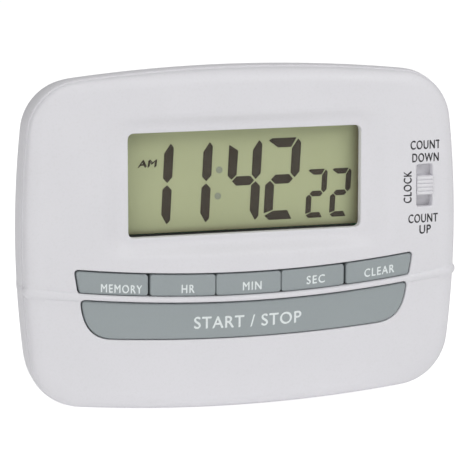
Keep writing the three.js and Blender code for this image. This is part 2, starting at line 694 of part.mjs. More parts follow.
// A flat contact at one end of the bay, with a tab that leaves through the bay's end wall.
function contactPlate(side) {
  const spans = ([a, b]) => [side * a, side * b].sort((p, q) => p - q);
  const plate = box(spans([24, 24.5]), [-11.3, -2.6], [17.3, 25.7]);
  const tab = box(spans([24, 27.2]), [-11.3, -10.8], [20.5, 22.5]);
  return join(plate, tab);
}

// The conical spring at the flat end of the cell, wound from its contact plate.
function negativeContact() {
  const turns = 3;
  const steps = 42;
  const [start, end] = [-24.1, -21.9];
  const coil = Array.from({ length: steps + 1 }, (_, i) => {
    const t = i / steps;
    const angle = 2 * Math.PI * turns * t;
    const radius = THREE.MathUtils.lerp(3.8, 2, t);
    const x = THREE.MathUtils.lerp(start, end, t);
    return [x, BATTERY.y + radius * Math.cos(angle), BATTERY.z + radius * Math.sin(angle)];
  });
  return join(contactPlate(-1), wire(coil, 0.28, steps + 12, 3));
}

// A door held by two tongues under the back wall and a springy latch tab at the top.
function batteryDoor() {
  const { halfWidth, bottom, top, corner, thickness } = DOOR;
  const plate = slab(roundedRectangle([-halfWidth, halfWidth], [bottom, top], corner), 0, -thickness);
  const tongues = [-1, 1].flatMap((s) => {
    const span = [s * TONGUE.offset - TONGUE.halfWidth, s * TONGUE.offset + TONGUE.halfWidth];
    return [
      box(span, [TONGUE.front, -thickness + 0.2], [BAY.bottom + 0.2, TONGUE.root + 0.4]),
      box(span, [TONGUE.front, TONGUE.back], [TONGUE.reach, TONGUE.root]),
    ];
  });
  const bump = rodAlongX(-1.1, top, LATCH.bump, [-LATCH.halfWidth + 1, LATCH.halfWidth - 1], 10);
  const slits = [-1, 1].map((s) => {
    const sides = [s * LATCH.halfWidth, s * (LATCH.halfWidth + LATCH.slit)].sort((a, b) => a - b);
    return box(sides, [-thickness - 1, 1], [LATCH.bottom, top + 1]);
  });
  const gripGrooves = [23.6, 25.2, 26.8].map((z) => box([-3.6, 3.6], [-0.5, 1], [z - 0.35, z + 0.35]));
  return cut(join(plate, bump, ...tongues), ...slits, ...gripGrooves);
}

// ---- Stand ----

function foldOutStand() {
  const { halfWidth, foot, thickness, skin, notchRadius } = STAND;
  const { y, z, barrel } = STAND_HINGE;
  const plateOutline = roundedRectangle([-halfWidth, halfWidth], [foot, z + 1], 2);
  const plate = slab(plateOutline, skin, skin - thickness).intersect(
    box([-halfWidth, halfWidth], [-5, 1], [foot - 1, z]),
  );
  const tube = rodAlongX(y, z, barrel, [-halfWidth, halfWidth], 20);
  const bore = rodAlongX(y, z, PIN_RADIUS + 0.1, [-halfWidth - 1, halfWidth + 1], 16);
  const notch = rod(0, foot, notchRadius, [-5, 1], 28);
  return cut(join(plate, tube), bore, notch);
}

function standPin() {
  return rodAlongX(STAND_HINGE.y, STAND_HINGE.z, PIN_RADIUS, [-PIN_HALF_LENGTH, PIN_HALF_LENGTH], 16);
}

// ---- Screws and magnets, each copy placed by its mesh's position ----

// A pan-head screw along Y with its seat at y = 0 and its shank towards the front.
function screw(headRadius, headHeight, shankRadius, length) {
  const head = rod(0, 0, headRadius, [0, headHeight], 16);
  const shank = rod(0, 0, shankRadius, [-length, 0.1], 10, shankRadius * 0.6);
  const slotHalf = headRadius * 0.62;
  const across = box([-slotHalf, slotHalf], [headHeight * 0.5, headHeight + 1], [-0.25, 0.25]);
  const upright = box([-0.25, 0.25], [headHeight * 0.5, headHeight + 1], [-slotHalf, slotHalf]);
  return cut(join(head, shank), across, upright);
}

function placed(name, manifold, finish, x, y, z) {
  const made = mesh(name, manifold, finish);
  made.position.set(x, y, z);
  return made;
}

function caseScrews() {
  const { x, z, head, shank, seat, end } = CASE_SCREW;
  const corners = [
    ["case_screw_top_left", -x, z],
    ["case_screw_top_right", x, z],
    ["case_screw_bottom_left", -x, -z],
    ["case_screw_bottom_right", x, -z],
  ];
  const body = screw(head, 1.5, shank, seat - end);
  return corners.map(([name, px, pz]) => placed(name, body, "steel", px, seat + 0.1, pz));
}

function boardScrews() {
  const { head, shank, end } = BOARD_SCREW;
  const length = BOARD.back - end;
  return BOARD_SCREWS.map(([x, z], i) =>
    placed(`board_screw_${i + 1}`, screw(head, 1.1, shank, length), "steel", x, BOARD.back + 0.1, z),
  );
}

function magnets() {
  const sides = { left_magnet: -1, right_magnet: 1 };
  return Object.entries(sides).map(([name, s]) => {
    const disc = rod(0, 0, MAGNET.radius, [-MAGNET.thickness, 0], 24);
    return placed(name, disc, "magnet", s * MAGNET.x, 0, MAGNET.z);
  });
}

// ---- Wires: battery and buzzer leads, with their ends soldered to the board's back ----

function leads() {
  const padY = BOARD.back + 0.75;
  const { battery, buzzer } = LEAD_RADIUS;
  const routes = {
    battery_lead_red: [battery, [27.9, -11, 21.5], [29.6, -11, 15], [29.4, -10.6, 8], [28, padY, 1.6]],
    battery_lead_black: [battery, [-27.9, -11, 21.5], [-29.6, -11, 15], [-29.4, -10.6, 8], [-28, padY, 1.6]],
    buzzer_lead_red: [buzzer, [31, -5.1, 4.5], [26, -6.5, 4], [22, -9, 1], [20, padY, -3]],
    buzzer_lead_black: [buzzer, [31, -5.1, -3.6], [27, -6.5, -4.5], [23, -9, -6.5], [20, padY, -9]],
  };
  return Object.entries(routes).map(([name, [radius, ...path]]) =>
    mesh(name, wire(path, radius, 10), name.endsWith("red") ? "redWire" : "blackWire"),
  );
}

// ---- Assembly ----

function group(name, ...meshes) {
  const made = new THREE.Group();
  made.name = name;
  made.add(...meshes);
  return made;
}

const timer = group(
  "lab_timer",
  group(
    "case",
    mesh("front_shell", frontShell(), "case"),
    mesh("rear_shell", rearShell(), "case"),
    ...caseScrews(),
  ),
  group(
    "display",
    mesh("display_window", displayWindow(), "clear"),
    mesh("lcd_front_glass", glassSheet([-15.9, -16.6], GLASS.bottom), "glass"),
    mesh("lcd_rear_glass", glassSheet([-15.1, -15.8], GLASS.bottom + GLASS.ledge), "glass"),
    mesh("lcd_reflector", glassSheet([-14.7, -15], GLASS.bottom + GLASS.ledge), "reflector"),
    mesh("display_frame", displayFrame(), "case"),
    mesh("contact_strip", contactStrip(), "strip"),
  ),
  group(
    "keys",
    ...KEY_NAMES.map((name, i) => mesh(name, smallKey(i), "key")),
    mesh("start_stop_key", startKey(), "key"),
    mesh("keypad_mat", keypadMat(), "rubber"),
  ),
  group(
    "mode_switch",
    mesh("switch_knob", switchKnob(), "case"),
    mesh("switch_slider", switchSlider(), "epoxy"),
    mesh("switch_body", switchBody(), "steel"),
  ),
  group(
    "electronics",
    mesh("circuit_board", circuitBoard(), "board"),
    mesh("chip_cover", chipCover(), "epoxy"),
    mesh("quartz_crystal", quartzCrystal(), "steel"),
    mesh("buzzer_disc", buzzerDisc(), "brass"),
    mesh("buzzer_ceramic", buzzerCeramic(), "ceramic"),
    ...boardScrews(),
    ...leads(),
  ),
  group(
    "power",
    mesh("battery_cell", batteryCell(), "battery"),
    mesh("battery_spring", negativeContact(), "steel"),
    mesh("battery_plate", contactPlate(1), "steel"),
    mesh("battery_door", batteryDoor(), "case"),
  ),
  group(
    "back",
    mesh("fold_out_stand", foldOutStand(), "case"),
    mesh("stand_pin", standPin(), "steel"),
    ...magnets(),
  ),
);

export default timer;
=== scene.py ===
import json
import math

import bmesh
import bpy
import numpy as np
from mathutils import Matrix, Vector
from mathutils.geometry import delaunay_2d_cdt
from mathutils.kdtree import KDTree

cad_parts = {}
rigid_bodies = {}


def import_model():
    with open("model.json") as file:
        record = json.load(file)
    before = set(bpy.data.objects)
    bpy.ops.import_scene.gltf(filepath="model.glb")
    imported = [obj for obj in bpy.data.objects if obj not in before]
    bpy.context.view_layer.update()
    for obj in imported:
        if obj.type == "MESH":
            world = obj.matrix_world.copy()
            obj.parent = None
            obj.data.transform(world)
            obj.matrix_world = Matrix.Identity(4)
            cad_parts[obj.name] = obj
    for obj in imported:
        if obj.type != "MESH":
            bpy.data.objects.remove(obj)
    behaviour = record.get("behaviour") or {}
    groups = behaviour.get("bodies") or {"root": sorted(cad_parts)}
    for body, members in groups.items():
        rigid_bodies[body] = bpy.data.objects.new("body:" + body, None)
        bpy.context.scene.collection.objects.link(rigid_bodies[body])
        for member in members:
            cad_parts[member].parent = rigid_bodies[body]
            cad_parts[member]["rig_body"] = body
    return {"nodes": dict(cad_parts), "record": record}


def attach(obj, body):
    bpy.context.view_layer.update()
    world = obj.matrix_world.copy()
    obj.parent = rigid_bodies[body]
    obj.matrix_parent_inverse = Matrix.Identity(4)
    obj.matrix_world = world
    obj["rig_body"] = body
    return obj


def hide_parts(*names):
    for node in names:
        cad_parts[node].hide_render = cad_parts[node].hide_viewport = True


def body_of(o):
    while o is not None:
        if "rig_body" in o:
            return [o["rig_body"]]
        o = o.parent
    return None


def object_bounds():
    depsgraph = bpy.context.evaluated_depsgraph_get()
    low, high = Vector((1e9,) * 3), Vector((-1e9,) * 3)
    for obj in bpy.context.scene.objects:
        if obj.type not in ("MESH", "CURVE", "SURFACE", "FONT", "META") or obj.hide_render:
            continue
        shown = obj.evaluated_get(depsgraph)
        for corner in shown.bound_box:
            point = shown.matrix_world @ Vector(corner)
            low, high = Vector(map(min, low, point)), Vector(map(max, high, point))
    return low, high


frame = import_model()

cad_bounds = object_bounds()

# Lengths are in millimetres until piece() turns a mesh into metres. The front faces -Y, the flat
# back is y = 0, and a "loop" is a closed list of (x, z) points that runs anticlockwise.

MM = 0.001
SPACING = 1.0  # of the points inside a curved sheet

DEPTH, RIM, WALL = 22.0, 15.8, 2.0  # RIM is the height of the widest ring above the back
HALF_WIDTH, HALF_HEIGHT = 47.6, 36.2
SIDE_RADIUS, TOP_RADIUS, CORNER_RADIUS = 205.0, 325.0, 12.0
CROWN_X, CROWN_Z = 475.0, 450.0

CREASE_INSET, CREASE_Y = 0.75, -17.95
PARTING_INSET, FRONT_PARTING_Y, REAR_PARTING_Y = 0.45, -17.6, -17.35
RIM_INSET = 0.2
FACE_INSET = 4.3
LIP_OUTER, LIP_INNER, LIP_Y = 3.3, 4.2, -16.0

DISPLAY = dict(x0=-25.2, x1=25.2, z0=1.2, z1=22.8, radius=1.4)
DISPLAY_Y, PAD_Y = -19.6, -18.0
DISH = dict(x0=-32.0, x1=32.0, z0=-3.4, z1=26.6, radius=6.0)
DISH_FLOOR = dict(x0=-26.2, x1=26.2, z0=0.2, z1=23.8, radius=2.4)

KEY_ARC = 317.0
ROW_TOP, ROW_BOTTOM, ROW_END, ROW_LEAN = -6.9, -11.4, 36.6, 0.8
ROW_MIDDLE = (ROW_TOP + ROW_BOTTOM) / 2
KEY_EDGES = (-36.6, -21.3, -7.1, 7.1, 21.3, 36.6)
KEY_NAMES = ("memory_key", "hour_key", "minute_key", "second_key", "clear_key")
WIDE_GAP, THIN_GAP = 0.45, 0.12
KEY_SAG = 0.1  # how far the keys hang down and to the right in their openings
START_TOP, START_BOTTOM, START_END, START_CORNER, START_ARC = -13.0, -20.4, 35.4, 28.5, 400.0
START_MIDDLE = (START_TOP + START_BOTTOM) / 2
START_PLUNGERS = [(side * 14, START_MIDDLE + 0.4) for side in (-1, 1)]
BEAD_Z, BEAD_MIDDLE, BEAD_ENDS, BEAD_PROUD, BEAD_DROP = -12.15, 0.72, 1.1, 0.57, 0.3
KEY_RECESS = 0.25
PLUNGER_Y = -16.95

SLOT_X, SLOT_Z, SLOT_HALF_WIDTH, SLOT_HALF_HEIGHT = 39.3, 9.5, 1.85, 4.5
KNOB_HALF_WIDTH, KNOB_HALF_HEIGHT, KNOB_PROUD, KNOB_RIBS = 1.74, 2.0, 0.5, 5
KNOB_PLATE_FRONT, KNOB_PLATE_BACK = -18.1, -16.7
CASE_SCREWS = [(sx * 36.0, sz * 25.2) for sx in (-1, 1) for sz in (-1, 1)]
BOARD_FRONT, BOARD_BACK = -13.8, -12.6
BOARD_SCREWS = [(-40.2, -19.5), (40.2, -19.5), (-40.2, -3.6), (40.2, -3.6)]
HINGE = (0, -1.7, -4.4)  # the middle of the stand's pin
BATTERY_Y, BATTERY_Z = -7.0, 21.5
BUZZER_X, BUZZER_Z = 33.0, 3.0
MAGNET_X, MAGNET_Z = 31.5, -14.0


# ---- Loops ----

def rounded(points, radius, steps=5):
    """The polygon with its sharp corners rounded. radius may be one number or one for each point."""
    radii = radius if isinstance(radius, (list, tuple)) else [radius] * len(points)
    made = []
    for i, (point, r) in enumerate(zip(points, radii)):
        here = Vector(point)
        before = Vector(points[i - 1]) - here
        after = Vector(points[(i + 1) % len(points)]) - here
        turn = math.pi - before.angle(after)
        if turn < math.radians(20):
            made.append(point)
            continue
        cut = min(r * math.tan(turn / 2), 0.49 * before.length, 0.49 * after.length)
        start = here + before.normalized() * cut
        end = here + after.normalized() * cut
        for step in range(steps + 1):
            t = step / steps
            at = start * (1 - t) ** 2 + here * 2 * t * (1 - t) + end * t * t
            made.append((at.x, at.y))
    return made


def dense(loop, spacing):
    """The loop with its long edges split evenly."""
    made = []
    for i, (x, z) in enumerate(loop):
        x1, z1 = loop[(i + 1) % len(loop)]
        parts = max(1, math.ceil(math.hypot(x1 - x, z1 - z) / spacing))
        made += [(x + (x1 - x) * k / parts, z + (z1 - z) * k / parts) for k in range(parts)]
    return made


def rectangle(x0, x1, z0, z1, radius, spacing=1.0):
    return dense(rounded([(x0, z0), (x1, z0), (x1, z1), (x0, z1)], radius, 7), spacing)


def circle(x, z, radius, steps=32):
    angles = [2 * math.pi * i / steps for i in range(steps)]
    return [(x + radius * math.cos(a), z + radius * math.sin(a)) for a in angles]


def offset(loop, distance):
    """The loop moved outwards by a distance, or inwards if it is negative, with as many points."""
    made = []
    for i, point in enumerate(loop):
        here = Vector(point)
        before = (here - Vector(loop[i - 1])).normalized()
        after = (Vector(loop[(i + 1) % len(loop)]) - here).normalized()
        normal = Vector((before.y + after.y, -before.x - after.x)) / 2
        at = here + normal * distance / max(normal.length_squared, 0.3)
        made.append((at.x, at.y))
    return made


def level(y):
    return lambda x, z: y


def lift(loop, height):
    return [(x, height(x, z), z) for x, z in loop]


def at_depth(loop, y):
    return [(x, y, z) for x, z in loop]


# ---- Meshes ----

def crossings(points, start, end):
    """Whether each point lies within the edges from start to end, by counting them towards +X."""
    found = []
    for part in np.array_split(points, max(1, len(points) // 1500)):
        x, z = part[:, :1], part[:, 1:]
        spans = (start[:, 1] > z) != (end[:, 1] > z)
        rise = np.where(end[:, 1] == start[:, 1], 1, end[:, 1] - start[:, 1])
        at = start[:, 0] + (z - start[:, 1]) * (end[:, 0] - start[:, 0]) / rise
        found.append((spans & (x < at)).sum(axis=1) % 2 == 1)
    return np.concatenate(found)


def points_within(points, start, end):
    """The points that lie within the edges."""
    return [p for p, kept in zip(points, crossings(np.array(points), start, end)) if kept] if points else []


def far_from(points, others, distance):
    """The points that lie at least a distance from all the others."""
    tree = KDTree(len(others))
    for i, (x, z) in enumerate(others):
        tree.insert((x, z, 0), i)
    tree.balance()
    return [(x, z) for x, z in points if tree.find((x, z, 0))[2] >= distance]


class Skin:
    """Faces gathered from points. Equal points share one vertex, so pieces of a skin join up."""

    def __init__(self):
        self.points = []
        self.faces = []
        self.seen = {}

    def corner(self, point):
        key = tuple(round(c, 4) for c in point)
        if key not in self.seen:
            self.seen[key] = len(self.points)
            self.points.append(key)
        return self.seen[key]

    def face(self, *points):
        corners = list(dict.fromkeys(self.corner(p) for p in points))
        if len(corners) > 2:
            self.faces.append(corners)

    def bands(self, *rings):
        """Quads between each closed ring and the next, which has as many points."""
        for near, far in zip(rings, rings[1:]):
            for i in range(len(near)):
                self.face(near[i - 1], near[i], far[i], far[i - 1])

    def sheet(self, outer, holes=(), height=None, spacing=None, extra=()):
        """Triangles between an outer ring and the rings of its holes.

        Points inside, on a grid and in extra, take their y from height.
        """
        rim, edges = [], []
        for ring in (outer, *holes):
            first = len(rim)
            rim += ring
            edges += [(first + i, first + (i + 1) % len(ring)) for i in range(len(ring))]
        flat = np.array([(p[0], p[2]) for p in rim])
        start, end = flat, flat[[b for _, b in edges]]
        inner = []
        if spacing:
            inner = points_within(far_from(extra, flat, 0.15), start, end)
            low, high = flat.min(axis=0), flat.max(axis=0)
            rows = np.arange(low[1], high[1], spacing * 0.87)
            across = np.arange(low[0], high[0], spacing)
            grid = [(x + i % 2 * spacing / 2, z) for i, z in enumerate(rows) for x in across]
            inner += far_from(points_within(grid, start, end), [*map(tuple, flat), *inner], 0.6 * spacing)
        points = rim + [(x, height(x, z), z) for x, z in inner]
        flat_points = [Vector((p[0], p[2])) for p in points]
        corners, _, triangles, source, _, _ = delaunay_2d_cdt(flat_points, edges, [], 0, 1e-6)
        if len(corners) != len(points):
            raise ValueError("two loops of a sheet cross or share a point")
        middles = np.array([sum((corners[v] for v in t), Vector((0, 0))) / 3 for t in triangles])
        for triangle, kept in zip(triangles, crossings(middles, start, end)):
            if kept:
                self.face(*(points[source[v][0]] for v in triangle))

    def mesh(self, name="skin"):
        made = bpy.data.meshes.new(name)
        made.from_pydata(self.points, [], self.faces)
        shaped = bmesh.new()
        shaped.from_mesh(made)
        bmesh.ops.recalc_face_normals(shaped, faces=shaped.faces)
        shaped.to_mesh(made)
        shaped.free()
        return made


def joined(*skins):
    """One skin with the faces of several closed ones."""
    whole = Skin()
    for skin in skins:
        first = len(whole.points)
        whole.points += skin.points
        whole.faces += [[first + v for v in face] for face in skin.faces]
    return whole


def edge_rings(loop, surface, radius, side, inward, steps=4, margin=0.12):
    """Rings that turn a sheet's edge smoothly through a quarter circle onto a wall along the loop.

    side is 1 where the sheet lies outside the loop, as round an opening, and -1 where it lies
    inside. inward is the direction in Y away from the sheet's open side.
    """
    rings = [lift(offset(loop, side * (radius + margin)), surface)]
    for step in range(steps + 1):
        turn = math.pi / 2 * step / steps
        across = offset(loop, side * radius * (1 - math.sin(turn)))
        drop = inward * radius * (1 - math.cos(turn))
        rings.append([(x, surface(x, z) + drop, z) for x, z in across])
    return rings


def pad(loop, front, back, radius, spacing=None, steps=3):
    """A closed solid between two heights, with round edges on both faces."""
    near = edge_rings(loop, front, radius, -1, 1, steps, 0.03)
    far = edge_rings(loop, back, radius, -1, -1, steps, 0.03)
    skin = Skin()
    skin.sheet(near[0], height=front, spacing=spacing)
    skin.bands(*near, *reversed(far))
    skin.sheet(far[0], height=back, spacing=spacing)
    return skin


def lathe(profile, centre, axis="Y", steps=48):
    """A closed solid turned round an axis through centre. The profile is (radius, along) pairs."""
    cx, cy, cz = centre
    rings = []
    for radius, along in profile:
        turned = circle(0, 0, radius, steps)
        if axis == "Y":
            rings.append([(cx + a, cy + along, cz + b) for a, b in turned])
        else:
            rings.append([(cx + along, cy + a, cz + b) for a, b in turned])
    skin = Skin()
    skin.bands(*rings)
    return skin


def tube(path, radius, sides=12):
    """A closed round wire along a path."""
    path = [Vector(p) for p in path]
    normal = (path[1] - path[0]).orthogonal().normalized()
    rings = []
    for i, point in enumerate(path):
        along = (path[min(i + 1, len(path) - 1)] - path[max(i - 1, 0)]).normalized()
        normal = (normal - along * normal.dot(along)).normalized()
        across = along.cross(normal)
        rings.append([tuple(point + (normal * a + across * b)) for a, b in circle(0, 0, radius, sides)])
    skin = Skin()
    skin.bands(*rings)
    skin.face(*rings[0])
    skin.face(*rings[-1])
    return skin


def curve_through(points, steps=40):
    """A smooth path through a few points."""
    spread = [Vector(p) for p in points]
    spread = [2 * spread[0] - spread[1], *spread, 2 * spread[-1] - spread[-2]]
    made = []
    for i in range(1, len(spread) - 2):
        a, b, c, d = spread[i - 1 : i + 3]
        for k in range(steps // (len(spread) - 3)):
            t = k / (steps // (len(spread) - 3))
            square, cube = 2 * a - 5 * b + 4 * c - d, 3 * b - a - 3 * c + d
            made.append(0.5 * (2 * b + (c - a) * t + square * t**2 + cube * t**3))
    return [*made, spread[-2]]


def block(x, y, z, radius=0.1):
    """A box from three (low, high) spans, with round edges."""
    shaped = bmesh.new()
    bmesh.ops.create_cube(shaped, size=1)
    size = [high - low for low, high in (x, y, z)]
    middle = [(high + low) / 2 for low, high in (x, y, z)]
    matrix = Matrix.Translation(middle) @ Matrix.Diagonal((*size, 1))
    bmesh.ops.transform(shaped, matrix=matrix, verts=shaped.verts)
    if radius:
        bmesh.ops.bevel(shaped, geom=shaped.edges, offset=radius, segments=2, profile=0.5, affect="EDGES")
    skin = Skin()
    skin.points = [tuple(v.co) for v in shaped.verts]
    skin.faces = [[v.index for v in f.verts] for f in shaped.faces]
    shaped.free()
    return skin


def carved(skin, tools, operation="DIFFERENCE"):
    """The skin after cutting or joining other closed skins."""
    body = bpy.data.objects.new("carving", skin.mesh())
    bpy.context.scene.collection.objects.link(body)
    cutters = []
    for tool in tools:
        cutter = bpy.data.objects.new("cutter", tool.mesh())
        bpy.context.scene.collection.objects.link(cutter)
        modifier = body.modifiers.new("carve", "BOOLEAN")
        modifier.operation = operation
        modifier.solver = "EXACT"
        modifier.object = cutter
        cutters.append(cutter)
    bpy.context.view_layer.update()
    result = bpy.data.meshes.new_from_object(body.evaluated_get(bpy.context.evaluated_depsgraph_get()))
    made = Skin()
    made.points = [tuple(v.co) for v in result.vertices]
    made.faces = [list(p.vertices) for p in result.polygons]
    for used in (body, *cutters):
        bpy.data.objects.remove(used)
    bpy.data.meshes.remove(result)
    return made


def piece(name, skin, material, nodes=(), body=None, sharp=32):
    """Puts a skin in the scene in metres, in place of CAD nodes or as a detail on one body."""
    mesh = skin.mesh(name)
    mesh.transform(Matrix.Scale(MM, 4))
    mesh.polygons.foreach_set("use_smooth", [True] * len(mesh.polygons))
    mesh.set_sharp_from_angle(angle=math.radians(sharp))
    mesh.materials.append(material)
    made = bpy.data.objects.new(name, mesh)
    bpy.context.scene.collection.objects.link(made)
    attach(made, body or "case")
    if nodes:
        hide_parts(*nodes)
    return made


# ---- Shape of the case ----

def arc(z, x):
    return z + x * x / (2 * KEY_ARC)


def crown(x, z):
    return -DEPTH + x * x / (2 * CROWN_X) + z * z / (2 * CROWN_Z)


def behind(distance):
    return lambda x, z: crown(x, z) + distance


def beyond(x, z, x0, x1, z0, z1, radius):
    """Distance from a rounded rectangle, negative inside it."""
    dx = abs(x - (x0 + x1) / 2) - (x1 - x0) / 2 + radius
    dz = abs(z - (z0 + z1) / 2) - (z1 - z0) / 2 + radius
    return math.hypot(max(dx, 0), max(dz, 0)) + min(max(dx, dz), 0) - radius


def bead_place(x):
    """The bead's middle height and half its thickness, which grows towards the sides."""
    outwards = (x / HALF_WIDTH) ** 4
    return arc(BEAD_Z, x) - BEAD_DROP * outwards, BEAD_MIDDLE + (BEAD_ENDS - BEAD_MIDDLE) * outwards


def bead(x, z):
    """How far the raised bead stands out of the face."""
    middle, half = bead_place(x)
    across = (z - middle) / half
    return BEAD_PROUD * (1 - across**2) ** 0.8 if abs(across) < 1 else 0.0


def face(x, z):
    """The outer surface of the front: the crown, the smooth dish round the display, and the bead."""
    y = crown(x, z) - bead(x, z)
    outside, inside = beyond(x, z, **DISH), beyond(x, z, **DISH_FLOOR)
    if outside >= 0:
        return y
    share = max(inside, 0) / (max(inside, 0) - outside)
    blend = share * share * (3 - 2 * share)
    return DISPLAY_Y + (y - DISPLAY_Y) * blend


def quarter_places():
    """(centre x, centre z, radius, angle) round a quarter of the outline, closest together at the bead."""
    side = Vector((HALF_WIDTH - SIDE_RADIUS, 0))
    top = Vector((0, HALF_HEIGHT - TOP_RADIUS))
    span = top - side
    reach, rise = SIDE_RADIUS - CORNER_RADIUS, TOP_RADIUS - CORNER_RADIUS
    along = (reach**2 - rise**2 + span.length_squared) / (2 * span.length)
    across = math.sqrt(reach**2 - along**2)
    unit = span.normalized()
    corner = side + unit * along + Vector((-unit.y, unit.x)) * across
    side_end = math.atan2(corner.y, corner.x - side.x)
    top_start = math.atan2(corner.y - top.y, corner.x)
    heights = [*np.arange(0, 7.0, 1.0), *np.arange(7.0, 10.4, 0.17), *np.arange(10.4, corner.y, 1.0)]
    angles = [math.asin(h / SIDE_RADIUS) for h in heights]
    places = [(side.x, side.y, SIDE_RADIUS, a) for a in angles if a < side_end - 0.002]
    steps = 16
    places += [
        (corner.x, corner.y, CORNER_RADIUS, side_end + (top_start - side_end) * i / steps)
        for i in range(steps)
    ]
    steps = 36
    places += [
        (top.x, top.y, TOP_RADIUS, top_start + (math.pi / 2 - top_start) * i / steps)
        for i in range(steps + 1)
    ]
    return places


def ring_places():
    """The quarter's places mirrored round the whole outline, each with its signs in X and Z."""
    quarter = quarter_places()
    upper = [(p, 1, 1) for p in quarter] + [(p, -1, 1) for p in quarter[-2::-1]]
    lower = [(p, -1, -1) for p in quarter[1:]] + [(p, 1, -1) for p in quarter[-2:0:-1]]
    return upper + lower


RING = ring_places()


def outline(inset):
    """The case outline moved in by one inset, or by one for each of its points."""
    insets = inset if isinstance(inset, list) else [inset] * len(RING)
    return [
        (sx * (cx + (radius - amount) * math.cos(angle)), sz * (cz + (radius - amount) * math.sin(angle)))
        for ((cx, cz, radius, angle), sx, sz), amount in zip(RING, insets)
    ]


def front_edge(turn):
    """A ring on the front's rounded edge, at 90 degrees beside the face and at 0 by the crease."""
    base = FACE_INSET - (FACE_INSET - CREASE_INSET) * math.cos(turn)
    loop = outline([base - bead(x, z) * math.cos(turn) for x, z in outline(base)])
    ring = []
    for (x, z), (fx, fz) in zip(loop, outline(FACE_INSET)):
        y = CREASE_Y + (crown(fx, fz) - CREASE_Y) * math.sin(turn)
        ring.append((x, y - bead(x, z) * math.sin(turn), z))
    return ring


def row_opening():
    left, right = -ROW_END - 0.4, ROW_END + 0.16
    return band(left, right, ROW_BOTTOM - 0.1, ROW_TOP + 0.32, ROW_LEAN, ROW_LEAN, 0.9)


def band(left, right, bottom, top, lean_left, lean_right, radius):
    """A loop that follows the keys' arc between two ends, which may lean."""
    steps = max(4, round((right - left) / 3))
    across = [i / steps for i in range(steps + 1)]
    low = [left + lean_left + (right - lean_right - left - lean_left) * t for t in across]
    high = [right + (left - right) * t for t in across]
    points = [(x, arc(bottom, x)) for x in low] + [(x, arc(top, x)) for x in high]
    return dense(rounded(points, radius), 0.8)


def start_outline():
    """The long key's outline: the keys' arc on top, and a flatter arc with round corners below."""

    def low(x):
        return START_BOTTOM + x * x / (2 * START_ARC)

    corner = Vector((START_CORNER, low(START_CORNER)))
    end = Vector((START_END, arc(START_TOP, START_END)))
    near, far = Vector((START_END - 1.4, corner.y + 0.2)), Vector((START_END - 0.4, corner.y + 4.2))
    steps = 12
    right = []
    for i in range(1, steps - 1):
        t = i / steps
        at = corner * (1 - t) ** 3 + near * 3 * t * (1 - t) ** 2 + far * 3 * t * t * (1 - t) + end * t**3
        right.append((at.x, at.y))
    bottom = [(x, low(x)) for x in np.linspace(-START_CORNER, START_CORNER, 19)]
    top = [(x, arc(START_TOP, x)) for x in np.linspace(START_END, -START_END, 25)]
    left = [(-x, z) for x, z in reversed(right)]
    return dense(rounded(bottom + right + top + left, 1.0), 0.8)


# ---- Front shell ----

def bead_rows():
    """Points along the bead that keep its round back smooth, from the openings out to the edge."""
    rows = []
    for x in np.arange(-43.6, 43.7, 0.45):
        middle, half = bead_place(x)
        for across in (-1.2, -1, -0.85, -0.6, -0.3, 0, 0.3, 0.6, 0.85, 1, 1.2):
            rows.append((x, middle + across * half))
    return rows


def dish_rows():
    """Points on the slopes of the dish, closer together than the grid."""
    return [
        (x, z)
        for x in np.arange(-33, 33.1, 0.7)
        for z in np.arange(-4.4, 27.7, 0.7)
        if beyond(x, z, **DISH) < 0.6 and beyond(x, z, **DISH_FLOOR) > -0.4
    ]


def boss(skin, x, z, radius, root, end, pilot, pilot_end, steps=32):
    """A hollow post on a sheet whose height is root. Returns the ring where it meets the sheet."""
    foot = lift(circle(x, z, radius, steps), root)
    chamfer = 0.2
    skin.bands(
        foot,
        at_depth(circle(x, z, radius, steps), end - chamfer),
        at_depth(circle(x, z, radius - chamfer, steps), end),
        at_depth(circle(x, z, pilot + chamfer, steps), end),
        at_depth(circle(x, z, pilot, steps), end - chamfer),
        at_depth(circle(x, z, pilot, steps), pilot_end),
    )
    skin.face(*at_depth(circle(x, z, pilot, steps), pilot_end))
    return foot


